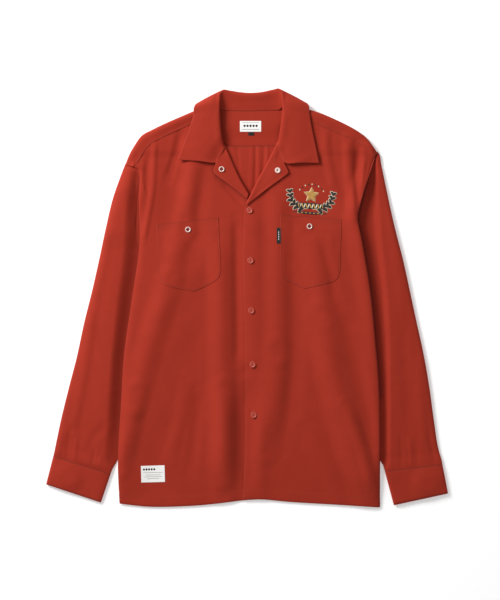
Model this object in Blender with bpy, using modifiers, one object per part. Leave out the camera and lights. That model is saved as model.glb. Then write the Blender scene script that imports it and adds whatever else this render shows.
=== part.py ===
"""Long-sleeved work shirt with an open notched collar, buttoned and laid flat.

The shirt lies on its back on the floor, seen from above.  +Y points to the collar, +X to the
wearer's left, +Z up.  The origin is on the floor, under the middle of the laid-out shirt.
Every piece that is cut and sewn is one closed solid: a cloth wall between two sheets of points.
The pieces are laid in the order in which they rest on each other, each one just clear of what
is below it.  Sizes in the tables are millimetres; the scene is in metres.
"""
import math
from collections import namedtuple

import bmesh
import bpy
from mathutils import Vector
from mathutils.bvhtree import BVHTree

# ---------------------------------------------------------------- driving dimensions, mm
MM = 0.001
CLOTH = 1.3             # wall of one layer of twill
COLLAR_CLOTH = 1.6      # collar, lapels and cuffs are two layers with an interlining
GAP = 0.3               # clearance kept between neighbouring pieces
LAP = 5.0               # width by which one piece lies over the next along a seam
HIDDEN_LAP = 16.0       # width of the sleeve's back wall tucked under the body's back
PILE_MARGIN = 1.5       # width by which a laid piece also keeps others off beside its edges
TRIM_WALL = 1.0         # labels and tabs
SLEEVE_FLAT = 3.7       # height of a sleeve where the body lies on it
SLEEVE_EDGE = 6.0       # plan depth of the rounded fold along a sleeve's edges
FOLD_WALL = 1.5         # the wall at a folded edge, as a multiple of the cloth's
CUFF_HEIGHT = 7.6       # height of a closed cuff
BODY_LOFT = 4.2         # air between the front and the back of the body
EDGE_ROLL = 13.0        # plan depth over which the front rounds down to the side seam
SLEEVE_END_INSET = 4.2  # from the armhole's two ends to the sleeve's folds, at its open end
CUFF_INSET = 3.4        # from a cuff's two folds to the sleeve that ends inside it
ROLL_OFFSET = 1.0       # from a front's rolled edge to the lapel's inner edge
BUTTON_RADIUS = 5.8
BUTTON_HEIGHT = 2.2
BUTTON_RIM = 1.9        # width of a button's raised rim
BUTTON_DISH = 0.5       # depth of the dish inside the rim
EYE_LENGTH, EYE_WIDTH = 6.0, 2.5    # the long recess in which a button is sewn
EYE_DEPTH = 0.7
SNAP_RADIUS = 5.3
SNAP_HEIGHT = 1.8
SNAP_FLOOR = 0.7        # height of the hollow's floor inside a snap's ring
REST_GAP = 0.1          # further clearance under a button or a snap

RIGHT, LEFT = -1, 1     # the wearer's sides: -X and +X
SIDE_NAME = {RIGHT: "right", LEFT: "left"}

# ---------------------------------------------------------------- outline of the pieces, mm (x, y)
HEM = [(-238, -384), (-175, -390), (-88, -387), (-8, -378), (28, -376), (83, -381), (168, -386), (248, -391)]
SIDE_SEAM = {
    RIGHT: [(-238, -384), (-241, -299), (-235, -195), (-229, -103), (-215, -4), (-201, 97)],
    LEFT: [(248, -391), (247, -190), (239, -79), (230, 11), (215, 101), (206, 146)],
}
ARMHOLE = {
    RIGHT: [(-201, 97), (-202, 183), (-201, 232), (-209, 243), (-228, 250)],
    LEFT: [(206, 146), (210, 170), (220, 207), (234, 256), (244, 272)],
}
ARMHOLE_FOOT = {RIGHT: (-138, 55), LEFT: (150, 88)}      # where the sleeve's inner fold meets the armhole
FRONT_YOKE_SEAM = {
    RIGHT: [(-209, 243), (-199, 262), (-182, 285), (-163, 297), (-106, 324), (-68, 342)],
    LEFT: [(236, 262), (223, 278), (207, 289), (173, 306), (120, 329), (79, 347)],
}
BACK_YOKE_SEAM = [(-203, 236), (-172, 263), (-110, 283), (0, 284), (110, 284), (186, 274), (229, 256)]
FRONT_EDGE = {          # from the hem up to the point where the lapel starts to turn
    RIGHT: [(27, -376), (27, -120), (26, 60), (24, 150), (4, 191)],
    LEFT: [(-7, -377), (-3, -234), (-4, -60), (-8, 70), (-6, 140), (-3, 171)],
}
ROLL_LINE = {           # from there along the turned lapel to the end of the collar
    RIGHT: [(4, 191), (-16, 226), (-36, 271)],
    LEFT: [(-3, 171), (19, 217), (33, 242), (51, 277)],
}
NECKLINE = {            # under the collar, from the roll line to the shoulder
    RIGHT: [(-36, 271), (-54, 279), (-65, 300), (-69, 322), (-68, 342)],
    LEFT: [(51, 277), (66, 285), (77, 302), (81, 325), (79, 347)],
}
LAPEL_EDGE = {          # free edge, from the foot of the roll line round the point to the gorge
    RIGHT: [(2, 184), (-22, 203), (-42, 218), (-58, 230), (-62, 238), (-58, 253), (-37, 271)],
    LEFT: [(-2, 171), (10, 182), (31, 199), (73, 230), (76, 237), (69, 253), (54, 280)],
}

Fold = namedtuple("Fold", "x0 y0 x1 y1 x2 y2 width height")
FRONT_FOLDS = [         # soft ridges (+) and troughs (-) of the two fronts
    Fold(-188, 245, -199, 77, -226, -147, 16, 4.3),
    Fold(-132, 295, -140, 280, -152, 262, 12, -2.2),
    Fold(-150, 240, -158, 110, -210, -150, 24, 5.2),
    Fold(-91, 248, -140, 60, -228, -303, 26, -3.8),
    Fold(-51, 20, -64, -72, -96, -140, 22, 3.5),
    Fold(-32, 120, -30, -110, -27, -350, 14, -3.8),
    Fold(18, 150, 17, -120, 14, -372, 20, 2.6),
    Fold(50, 180, 47, 40, 47, -95, 14, 2.9),
    Fold(66, 70, 72, -85, 49, -280, 20, -3.2),
    Fold(96, 30, 105, -100, 120, -230, 26, 4.1),
    Fold(142, 95, 160, -60, 243, -350, 24, -4.1),
    Fold(190, 60, 205, -70, 232, -170, 18, 4.3),
    Fold(203, 258, 203, 210, 214, 160, 12, -3.2),
    Fold(170, 270, 172, 200, 178, 120, 20, 3.8),
]
SLEEVE_FOLDS = {
    RIGHT: [
        Fold(-236, 215, -262, 60, -290, -70, 14, 1.8),
        Fold(-262, -75, -290, -120, -322, -140, 14, -2.2),
        Fold(-262, -170, -292, -200, -330, -215, 12, 1.6),
        Fold(-275, -255, -300, -280, -310, -312, 9, -1.6),
    ],
    LEFT: [
        Fold(250, 230, 272, 90, 300, -60, 14, 1.8),
        Fold(262, -60, 290, -100, 322, -120, 14, -2.2),
        Fold(266, -150, 295, -190, 335, -205, 12, 1.6),
        Fold(285, -250, 305, -275, 320, -300, 9, -1.6),
    ],
}

# A sleeve's sections: the point on its outer fold, its flat width from there, the angle in degrees by
# which the section drops towards the inner fold, the share of the armhole's bend in it, and its loft.
Section = namedtuple("Section", "outer_x outer_y width slant bend loft")
SLEEVE = {
    RIGHT: [
        Section(-236, 228, 205, 62, 1.0, 1.5),
        Section(-249, 191, 192, 56.5, 0.80, 3.0),
        Section(-263, 134, 176, 49.4, 0.50, 4.0),
        Section(-276, 73, 164, 42, 0.20, 4.4),
        Section(-290, 11, 157, 33, 0.05, 4.2),
        Section(-304, -45, 151, 26, 0.0, 4.0),
        Section(-318, -110, 144, 21, 0.0, 4.0),
        Section(-333, -168, 137, 19, 0.0, 3.6),
        Section(-347, -225, 128, 18, 0.0, 3.0),
        Section(-357, -272, 118, 17.6, 0.0, 1.6),
    ],
    LEFT: [
        Section(251, 248, 199, 59.6, 1.0, 1.5),
        Section(262, 195, 178, 51.8, 0.80, 3.0),
        Section(276, 132, 164, 42.3, 0.50, 4.0),
        Section(291, 73, 158, 33.9, 0.20, 4.4),
        Section(304, 14, 154, 28, 0.05, 4.2),
        Section(316, -42, 148, 24, 0.0, 4.0),
        Section(329, -101, 142, 20, 0.0, 4.0),
        Section(340, -163, 134, 17, 0.0, 3.6),
        Section(349, -228, 124, 13, 0.0, 3.0),
        Section(358, -284, 113, 8.5, 0.0, 1.6),
    ],
}
Cuff = namedtuple("Cuff", "seam_outer seam_inner end_outer end_inner")
CUFF = {
    RIGHT: Cuff((-362, -295), (-255, -329), (-375.5, -348), (-273, -382)),
    LEFT: Cuff((365, -311), (257, -323), (375.5, -365), (274, -387)),
}
CUFF_BUTTON_ACROSS = 0.32     # share of the cuff's width from its outer fold
CUFF_BUTTON_ALONG = 0.55

# The yoke is lofted over columns from the wearer's right armhole to the left one.  A column starts at the
# back seam, runs over the shoulder fold and ends on the front seam; reach 1 is a whole column, and less
# stops it at the neckline: 0.42 before the fold, 0.66 just past it.
Column = namedtuple("Column", "back_x back_y fold_x fold_y front_x front_y reach")
YOKE = [
    Column(-206, 233, -228, 250, -209, 243, 1.0),
    Column(-193, 242, -221, 267, -203, 255, 1.0),
    Column(-181, 252, -211, 285, -193, 272, 1.0),
    Column(-168, 261, -198, 303, -182, 285, 1.0),
    Column(-145, 269, -177, 315, -163, 297, 1.0),
    Column(-125, 275, -150, 328, -134, 311, 1.0),
    Column(-104, 278, -120, 341, -106, 324, 1.0),
    Column(-84, 279, -96, 351, -86, 334, 1.0),
    Column(-72, 279, -80, 357, -73, 340, 1.0),
    Column(-64, 279, -70, 361, -66, 344, 0.84),
    Column(-58, 279, -63, 362, -60, 346, 0.66),
    Column(-52, 279, -57, 359, -54, 346, 0.54),
    Column(-46, 279, -50, 353, -48, 345, 0.42),
    Column(-28, 279, -29, 349, -28, 340, 0.42),
    Column(5, 279, 5, 348, 5, 340, 0.42),
    Column(38, 279, 38, 350, 38, 340, 0.42),
    Column(58, 279, 60, 355, 58, 348, 0.42),
    Column(64, 279, 67, 361, 65, 347, 0.54),
    Column(70, 279, 74, 363, 71, 348, 0.63),
    Column(77, 279, 82, 362, 78, 347, 0.82),
    Column(87, 279, 94, 359, 87, 343, 1.0),
    Column(96, 279, 107, 355, 97, 339, 1.0),
    Column(116, 279, 134, 347, 120, 329, 1.0),
    Column(140, 277, 163, 335, 147, 317, 1.0),
    Column(162, 274, 186, 324, 173, 306, 1.0),
    Column(182, 269, 207, 312, 193, 297, 1.0),
    Column(200, 262, 224, 299, 207, 289, 1.0),
    Column(214, 257, 236, 283, 223, 278, 1.0),
    Column(228, 251, 244, 272, 236, 262, 1.0),
]
YOKE_ROWS = (0.0, 0.14, 0.28, 0.42, 0.48, 0.54, 0.60, 0.66, 0.77, 0.88, 1.0)
YOKE_FOLD = 5.0         # plan depth of the shoulder fold

# The collar is lofted over stations from its right end, round the back of the neck, to its left end.
# Each has its seam, its roll and its free edge, x y z.  turn is the way the roll faces: 0 folds down
# behind the neck, 90 stands beside it, 180 folds over onto the front.
Station = namedtuple("Station", "seam roll middle edge turn")
COLLAR = [
    Station((-49, 274, 9.0), (-36, 271, 11.5), (-58, 254, 13.0), (-128, 258, 11.5), 180),
    Station((-58, 283, 8.6), (-42, 282, 12.0), (-75, 272, 14.5), (-125, 268, 11.8), 180),
    Station((-64, 302, 8.4), (-47, 302, 13.0), (-80, 300, 16.0), (-116, 292, 12.0), 175),
    Station((-67, 323, 8.4), (-49.5, 325, 14.0), (-79, 326, 16.5), (-107, 318, 12.2), 165),
    Station((-67, 338, 8.8), (-51, 348, 15.0), (-77, 347, 17.0), (-100, 340, 12.6), 145),
    Station((-63.8, 349.5, 9.3), (-51.5, 368, 16.0), (-76, 367, 16.0), (-98, 357, 12.5), 115),
    Station((-54.8, 352.8, 7.4), (-51, 382, 14.0), (-76, 376, 7.0), (-92, 362, 2.2), 80),
    Station((-51, 354, 5.8), (-45, 388, 10.5), (-66, 379, 1.2), (-79, 353, 0.8), 45),
    Station((-42, 352.5, 4.0), (-33, 387, 7.4), (-44, 376, 0.8), (-52, 340, 0.8), 15),
    Station((-20, 350, 3.8), (-14, 384, 6.6), (-18, 370, 0.8), (-22, 338, 0.8), 0),
    Station((5, 349.5, 3.8), (5, 382.5, 6.4), (5, 368, 0.8), (5, 337, 0.8), 0),
    Station((30, 350.5, 3.8), (27, 384, 6.6), (30, 370, 0.8), (33, 338, 0.8), 0),
    Station((53, 355.5, 4.0), (48, 388.5, 7.4), (58, 376, 0.8), (64, 341, 0.8), -15),
    Station((62, 357.5, 5.8), (60, 390, 10.5), (81, 380, 1.2), (93, 355, 0.8), -45),
    Station((66.5, 357, 7.8), (65.5, 384, 14.0), (91, 378, 7.0), (107, 363, 2.2), -80),
    Station((73, 350.5, 8.8), (66, 369, 16.0), (91, 369, 16.0), (114, 360, 12.5), -115),
    Station((77, 340, 8.6), (66, 350, 15.0), (91, 348, 17.0), (116, 342, 12.6), -145),
    Station((78, 324, 8.4), (63.5, 328, 14.0), (91, 326, 16.5), (120, 318, 12.2), -165),
    Station((75, 305, 8.4), (60.5, 307, 13.0), (91, 300, 16.0), (126, 290, 12.0), -175),
    Station((70, 290, 8.6), (57, 289, 12.0), (86, 271, 14.5), (131, 266, 11.8), -180),
    Station((63, 281, 9.0), (52, 279, 11.5), (70, 253, 13.0), (134, 252, 11.5), -180),
]
ROLL_RADIUS = 2.1       # of the middle of the collar's cloth, where it folds

POCKET_TOP = {          # upper corners of the patch pockets, by increasing x
    RIGHT: [(-169, 137), (-54, 150)],
    LEFT: [(62, 155), (176, 146)],
}
POCKET_FOOT = {         # their lower edges: round one shoulder to the point, and round the other
    RIGHT: [(-166, 58), (-163, 38), (-149, 23), (-99, 12.5), (-70, 26), (-54, 37), (-49, 52)],
    LEFT: [(63, 50), (66, 39), (84, 28), (108, 17.5), (151, 28), (167, 35), (173, 52)],
}
BUTTONS = [(4.5, 163), (6.2, 69.6), (7.7, -23.7), (10.1, -124.4), (12.3, -218.4)]
SNAPS = {
    "snap_lapel_right": (-47.5, 240.0),
    "snap_lapel_left": (57.0, 238.0),
    "snap_pocket_right": (-110.3, 127.5),
    "snap_pocket_left": (116.5, 133.5),
}
Label = namedtuple("Label", "x y width length turn material")
LABELS = {
    "neck_label": Label(6.5, 320.5, 40.5, 21, 0.0, "label"),
    "size_tab": Label(7.7, 306.5, 12, 7, 0.0, "tape"),
    "hem_label": Label(-175.7, -328.7, 45, 32, 1.5, "label"),
    "side_tab": Label(60.0, 115.5, 5, 27, 0.0, "tape"),
}

Look = namedtuple("Look", "colour roughness metallic")
LOOKS = {
    "twill": Look((0.45, 0.045, 0.028), 0.85, 0.0),
    "button": Look((0.40, 0.035, 0.03), 0.35, 0.0),
    "snap": Look((0.72, 0.72, 0.70), 0.3, 0.9),
    "label": Look((0.85, 0.84, 0.80), 0.8, 0.0),
    "tape": Look((0.02, 0.02, 0.022), 0.8, 0.0),
}


# ---------------------------------------------------------------- small geometry
def smooth(low, high, value):
    """0 below low, 1 above high, an eased step between."""
    t = min(1.0, max(0.0, (value - low) / (high - low)))
    return t * t * (3.0 - 2.0 * t)


def mix(a, b, t):
    return tuple(p + (q - p) * t for p, q in zip(a, b))


def spline(points, per_span=8):
    """Points of a smooth line through the given ones."""
    closed = [points[0]] + list(points) + [points[-1]]
    line = []
    for i in range(1, len(closed) - 2):
        p0, p1, p2, p3 = (closed[i + k] for k in (-1, 0, 1, 2))
        for k in range(per_span):
            t = k / per_span
            line.append(tuple(
                0.5 * (2 * b + (c - a) * t + (2 * a - 5 * b + 4 * c - d) * t * t
                       + (3 * b - a - 3 * c + d) * t ** 3)
                for a, b, c, d in zip(p0, p1, p2, p3)))
    line.append(tuple(points[-1]))
    return line


class Path:
    """A line read by the share of its length."""

    def __init__(self, points, rounded=True):
        self.knots = [tuple(p) for p in points]
        self.rounded = rounded
        self.points = spline(points) if rounded else self.knots
        self.reach = [0.0]
        for a, b in zip(self.points, self.points[1:]):
            self.reach.append(self.reach[-1] + math.dist(a, b))

    def at(self, t):
        goal = t * self.reach[-1]
        for i in range(1, len(self.points)):
            if self.reach[i] >= goal - 1e-9:
                span = self.reach[i] - self.reach[i - 1]
                return mix(self.points[i - 1], self.points[i], (goal - self.reach[i - 1]) / span)
        return self.points[-1]

    def share_of_knot(self, number):
        """Share of the length at which a smooth line passes one of its given points."""
        return self.reach[number * (len(self.points) - 1) // (len(self.knots) - 1)] / self.reach[-1]

    def x_at(self, y):
        """The line's x at a height y, for a line that climbs all the way."""
        for a, b in zip(self.points, self.points[1:]):
            if a[1] <= y <= b[1]:
                return a[0] + (b[0] - a[0]) * (y - a[1]) / max(1e-9, b[1] - a[1])
        return self.points[0][0] if y < self.points[0][1] else self.points[-1][0]

    def distance(self, x, y):
        best = 1e9
        for a, b in zip(self.points, self.points[1:]):
            dx, dy = b[0] - a[0], b[1] - a[1]
            t = ((x - a[0]) * dx + (y - a[1]) * dy) / max(1e-9, dx * dx + dy * dy)
            t = min(1.0, max(0.0, t))
            best = min(best, math.hypot(x - a[0] - t * dx, y - a[1] - t * dy))
        return best

    def shifted(self, offset):
        """The same line moved to the left of its travel."""
        moved = []
        for i, (x, y) in enumerate(self.knots):
            a = self.knots[max(0, i - 1)]
            b = self.knots[min(len(self.knots) - 1, i + 1)]
            length = math.dist(a, b)
            moved.append((x - offset * (b[1] - a[1]) / length, y + offset * (b[0] - a[0]) / length))
        return Path(moved, self.rounded)


def inside(polygon, x, y):
    """Whether a spot is inside a closed outline."""
    hit = False
    for (x0, y0), (x1, y1) in zip(polygon, polygon[1:] + polygon[:1]):
        if (y0 > y) != (y1 > y) and x < x0 + (x1 - x0) * (y - y0) / (y1 - y0):
            hit = not hit
    return hit


def patch(hem, top, start, end, across, along):
    """Plan points of a panel between four edges; across and along are the shares of its grid lines."""
    corners = (hem.at(0), hem.at(1), top.at(0), top.at(1))
    grid = []
    for v in along:
        low_side, high_side = start.at(v), end.at(v)
        row = []
        for u in across:
            low, high = hem.at(u), top.at(u)
            point = []
            for k in (0, 1):
                flat = ((1 - u) * ((1 - v) * corners[0][k] + v * corners[2][k])
                        + u * ((1 - v) * corners[1][k] + v * corners[3][k]))
                point.append((1 - v) * low[k] + v * high[k] + (1 - u) * low_side[k] + u * high_side[k] - flat)
            row.append(tuple(point))
        grid.append(row)
    return grid


def shares(count, marks=()):
    """Even shares from 0 to 1; the nearest one moves to each mark."""
    even = [i / (count - 1) for i in range(count)]
    for mark in marks:
        nearest = min(range(count), key=lambda i: abs(even[i] - mark))
        even[nearest] = mark
    return even


def edge_shares(count, width, ends=(True, True), first=3.0, second=9.0):
    """Even shares of a width, with two lines set close to each rounded edge."""
    inner = [first / width, second / width]
    inner_end = [1 - second / width, 1 - first / width]
    low = inner[-1] if ends[0] else 0.0
    high = inner_end[0] if ends[1] else 1.0
    taken = 1 + sum(2 for e in ends if e)
    spread = [low + (high - low) * i / (count - taken) for i in range(1, count - taken)]
    head = [0.0] + inner if ends[0] else [0.0]
    tail = inner_end + [1.0] if ends[1] else [1.0]
    return head + spread + tail


# ---------------------------------------------------------------- heights of the laid cloth, mm
BODY_EDGE = {side: Path(SIDE_SEAM[side] + ARMHOLE[side][1:]) for side in (RIGHT, LEFT)}
FOLD_LINES = {}


def fold_height(folds, x, y):
    """Height added by a list of folds: each has a soft cross profile and fades out at its ends."""
    total = 0.0
    for fold in folds:
        if fold not in FOLD_LINES:
            FOLD_LINES[fold] = Path(spline([(fold.x0, fold.y0), (fold.x1, fold.y1), (fold.x2, fold.y2)], 4),
                                    rounded=False)
        line = FOLD_LINES[fold]
        low_y, high_y = min(fold.y0, fold.y2) - fold.width, max(fold.y0, fold.y2) + fold.width
        if not low_y < y < high_y:
            continue
        away = line.distance(x, y) / fold.width
        if away < 1.0:
            ends = min(math.dist((x, y), line.points[0]), math.dist((x, y), line.points[-1]))
            fading = smooth(-fold.width, 2 * fold.width, ends)
            total += fold.height * math.cos(away * math.pi / 2) ** 2 * fading
    return total


def armhole_line(side):
    """Plan line of the sleeve's open end: from the shoulder fold down the armhole to the inner fold."""
    return Path(list(reversed(ARMHOLE[side])) + [ARMHOLE_FOOT[side]])


def section_line(section, side):
    """Outer and inner fold points of a sleeve section."""
    angle = math.radians(section.slant)
    inner = (section.outer_x - side * section.width * math.cos(angle),
             section.outer_y - section.width * math.sin(angle))
    return (section.outer_x, section.outer_y), inner


def footprint(side):
    """Outline of the part of a sleeve that can lie under the body."""
    outer, inner = zip(*(section_line(s, side) for s in SLEEVE[side]))
    cuff = CUFF[side]
    armpit = ARMHOLE[side][0]
    return [armpit, ARMHOLE_FOOT[side], *inner, cuff.seam_inner, cuff.seam_outer, *reversed(outer)]


FOOTPRINT = {side: footprint(side) for side in (RIGHT, LEFT)}
INNER_EDGE = {
    side: Path(FOOTPRINT[side][:len(SLEEVE[side]) + 3], rounded=False)
    for side in (RIGHT, LEFT)
}
ARMHOLE_PATH = {side: Path(ARMHOLE[side]) for side in (RIGHT, LEFT)}


def sleeve_lift(x, y):
    """How far the body's back is lifted off the floor by the sleeve that lies under it."""
    side = LEFT if x > 0 else RIGHT
    full = SLEEVE_FLAT + GAP
    if inside(FOOTPRINT[side], x, y):
        return full
    from_sleeve = INNER_EDGE[side].distance(x, y)
    from_armhole = ARMHOLE_PATH[side].distance(x, y)
    over_sleeve = full * (1 - smooth(6, 26, from_sleeve))
    over_lap = (CLOTH + GAP) * (1 - smooth(HIDDEN_LAP + 2, HIDDEN_LAP + 20, from_armhole))
    return max(over_sleeve, over_lap)


def collar_lift(x, y):
    """How far the back of the yoke is lifted by the collar's fall beneath it."""
    nearness = smooth(306, 322, y) * (1 - smooth(92, 108, abs(x - 7)))
    return (COLLAR_CLOTH + 2 * GAP + 0.2) * nearness


def body_edge_distance(x, y):
    """Plan distance inwards from the body's side seam and armhole."""
    side = LEFT if x > 0 else RIGHT
    return side * (BODY_EDGE[side].x_at(y) - x)


def front_height(x, y):
    """Underside of a front, from the floor."""
    away = body_edge_distance(x, y)
    roll = math.sqrt(max(0.0, 1 - (1 - min(1.0, max(0.0, away) / EDGE_ROLL)) ** 2))
    hem = 0.45 + 0.55 * smooth(-392, -300, y)
    seam = (CLOTH + GAP) * smooth(262, 276, y)
    loft = roll * max(0.0, BODY_LOFT * hem + fold_height(FRONT_FOLDS, x, y) * (0.4 + 0.6 * hem))
    return sleeve_lift(x, y) + CLOTH + GAP + seam + loft


# ---------------------------------------------------------------- laying one piece on another
def widened(grid, ring):
    """A grid with one more line of points outside each open edge."""
    def beyond(edge, inner):
        away = (Vector(edge) - Vector(inner)).to_2d().normalized() * PILE_MARGIN
        return (edge[0] + away.x, edge[1] + away.y, edge[2])

    if not ring:
        grid = [[beyond(row[0], row[1]), *row, beyond(row[-1], row[-2])] for row in grid]
    first = [beyond(a, b) for a, b in zip(grid[0], grid[1])]
    last = [beyond(a, b) for a, b in zip(grid[-1], grid[-2])]
    return [first, *grid, last]


class Pile:
    """What has been laid so far."""

    def __init__(self):
        self.points = []
        self.faces = []
        self.tree = None

    def lay(self, grids, ring=False):
        """Add sheets, each a little wider than it is, so that what comes next also clears its edges."""
        for grid in grids:
            grid = widened(grid, ring)
            start = len(self.points)
            rows, cols = len(grid), len(grid[0])
            self.points += [Vector(p) for row in grid for p in row]
            for i, j, k, m in grid_faces(rows, cols, ring):
                self.faces.append((start + i, start + j, start + k))
                self.faces.append((start + i, start + k, start + m))
        self.tree = BVHTree.FromPolygons(self.points, self.faces)

    def floor(self, x, y, clearance=GAP):
        """Lowest level that a new piece may take at a spot: the floor, or just clear of what lies there."""
        hit = self.tree.ray_cast(Vector((x, y, 1000.0)), Vector((0, 0, -1))) if self.tree else (None,)
        return 0.0 if hit[0] is None else hit[0].z + clearance


def grid_faces(rows, cols, ring=False):
    """Corner numbers of a grid's quads."""
    for r in range(rows - 1):
        for c in range(cols if ring else cols - 1):
            d = (c + 1) % cols
            yield r * cols + c, r * cols + d, (r + 1) * cols + d, (r + 1) * cols + c


def settle(grid, pile, clearance=GAP, rows=None, rounds=10):
    """Raise a sheet's lower side until it clears the pile at spots all over it."""
    grid = [[Vector(p) for p in row] for row in grid]
    rows = list(range(len(grid))) if rows is None else rows
    triangles = []
    for r, s in zip(rows, rows[1:]):
        for c in range(len(grid[0]) - 1):
            a, b, d, e = grid[r][c], grid[r][c + 1], grid[s][c + 1], grid[s][c]
            triangles += [(a, b, d), (a, d, e)]
    spots = [(i / 4, j / 4, 1 - (i + j) / 4) for i in range(5) for j in range(5 - i)]
    for step in range(rounds):
        raised = False
        share = 0.5 + 0.5 * step / (rounds - 1)
        for corners in triangles:
            short = 0.0
            for spot in spots:
                x, y, z = (sum(k * p[i] for k, p in zip(spot, corners)) for i in (0, 1, 2))
                short = max(short, pile.floor(x, y, clearance) - z)
            if short > 1e-4:
                raised = True
                for p in corners:
                    p.z += short * share
        points = [p for corners in triangles for p in corners]
        tree = BVHTree.FromPolygons(points, [(3 * i, 3 * i + 1, 3 * i + 2) for i in range(len(triangles))])
        for point in pile.points:
            hit = tree.ray_cast(Vector((point.x, point.y, -10.0)), Vector((0, 0, 1)))
            if hit[0] is not None and hit[0].z < pile.floor(point.x, point.y, clearance) - 1e-4:
                raised = True
                short = pile.floor(point.x, point.y, clearance) - hit[0].z
                for p in triangles[hit[2]]:
                    p.z += short * share
        if not raised:
            break
    return [[tuple(p) for p in row] for row in grid]


def thicken(grid, wall):
    """Upper side of a sheet whose lower side is given; steep stretches get more height."""
    rows, cols = len(grid), len(grid[0])
    upper = []
    for r in range(rows):
        line = []
        for c in range(cols):
            x, y, z = grid[r][c]
            left, right = grid[r][max(0, c - 1)], grid[r][min(cols - 1, c + 1)]
            near, far = grid[max(0, r - 1)][c], grid[min(rows - 1, r + 1)][c]
            slope = 0.0
            for a, b in ((left, right), (near, far)):
                slope = max(slope, abs(b[2] - a[2]) / max(0.5, math.dist(a[:2], b[:2])))
            line.append((x, y, z + wall * min(1.5, math.sqrt(1 + slope * slope))))
        upper.append(line)
    return upper


# ---------------------------------------------------------------- objects
def material(name):
    look = LOOKS[name]
    mat = bpy.data.materials.get(name)
    if mat is None:
        mat = bpy.data.materials.new(name)
        mat.use_nodes = True
        shader = mat.node_tree.nodes["Principled BSDF"]
        shader.inputs["Base Color"].default_value = (*look.colour, 1.0)
        shader.inputs["Roughness"].default_value = look.roughness
        shader.inputs["Metallic"].default_value = look.metallic
    return mat


def add_object(name, mesh, look, collection):
    mesh.materials.append(material(look))
    obj = bpy.data.objects.new(name, mesh)
    collection.objects.link(obj)
    return obj


def shell(name, outer, inner, look, collection, ring=False):
    """Closed cloth wall between two grids of points; a ring's columns close on themselves."""
    rows, cols = len(outer), len(outer[0])
    work = bmesh.new()
    skins = [[work.verts.new([k * MM for k in p]) for row in grid for p in row] for grid in (outer, inner)]
    for i, j, k, m in grid_faces(rows, cols, ring):
        for skin in skins:
            work.faces.new((skin[i], skin[j], skin[k]))
            work.faces.new((skin[i], skin[k], skin[m]))
    rims = [[(r * cols + c, r * cols + (c + 1) % cols) for c in range(cols if ring else cols - 1)]
            for r in (0, rows - 1)]
    if not ring:
        rims += [[(r * cols + c, (r + 1) * cols + c) for r in range(rows - 1)] for c in (0, cols - 1)]
    for rim in rims:
        for i, j in rim:
            work.faces.new((skins[0][i], skins[0][j], skins[1][j]))
            work.faces.new((skins[0][i], skins[1][j], skins[1][i]))
    bmesh.ops.recalc_face_normals(work, faces=work.faces)
    mesh = bpy.data.meshes.new(name)
    work.to_mesh(mesh)
    work.free()
    mesh.shade_smooth()
    return add_object(name, mesh, look, collection)


def sheet(name, lower, wall, look, collection, pile):
    """A panel from its lower side; it joins the pile."""
    upper = thicken(lower, wall)
    pile.lay([upper])
    return shell(name, upper, lower, look, collection)


# ---------------------------------------------------------------- sleeves and cuffs
def edge_height(away):
    """Share of a flattened tube's height at a plan distance from its folded edge."""
    return math.sqrt(max(0.0, 1 - (1 - min(1.0, max(0.0, away) / SLEEVE_EDGE)) ** 2))


def tube_ring(plan, floor, height, wall):
    """One ring of a flattened tube, outer and inner points.

    plan(share, front) is the plan point, from 0 on the outer fold to 1 on the inner fold; floor and height
    give the level of its underside and its thickness there.
    """
    width = math.dist(plan(0, True), plan(1, True))
    outer, inner = [], []

    def fold(share):
        x, y = plan(share, True)
        near = plan(abs(share - SLEEVE_EDGE / width), True)
        level = floor(*near) + height(*near) / 2
        outer.append((x, y, level))
        inner.append((*mix((x, y), near, FOLD_WALL * wall / SLEEVE_EDGE), level))

    def side(share, front):
        x, y = plan(share, front)
        tall = height(x, y)
        away = edge_height(min(share, 1 - share) * width)
        level = floor(x, y) + tall / 2 * (1 + (away if front else -away))
        outer.append((x, y, level))
        inner.append((x, y, level - wall if front else level + wall))

    fold(0)
    for share in edge_shares(13, width, first=3.0, second=7.5)[1:-1]:
        side(share, True)
    fold(1)
    for share in reversed(edge_shares(9, width, first=3.0, second=7.5)[1:-1]):
        side(share, False)
    return outer, inner


def cuff_button_place(side):
    cuff = CUFF[side]
    outer = mix(cuff.seam_outer, cuff.end_outer, CUFF_BUTTON_ALONG)
    inner = mix(cuff.seam_inner, cuff.end_inner, CUFF_BUTTON_ALONG)
    return mix(outer, inner, CUFF_BUTTON_ACROSS)


def cuff_floor(side, x, y):
    """Underside of a cuff, lifted by the button under it."""
    away = math.dist((x, y), cuff_button_place(side))
    return (BUTTON_HEIGHT + 2 * GAP + 0.2) * (1 - smooth(9, 38, away))


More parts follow.
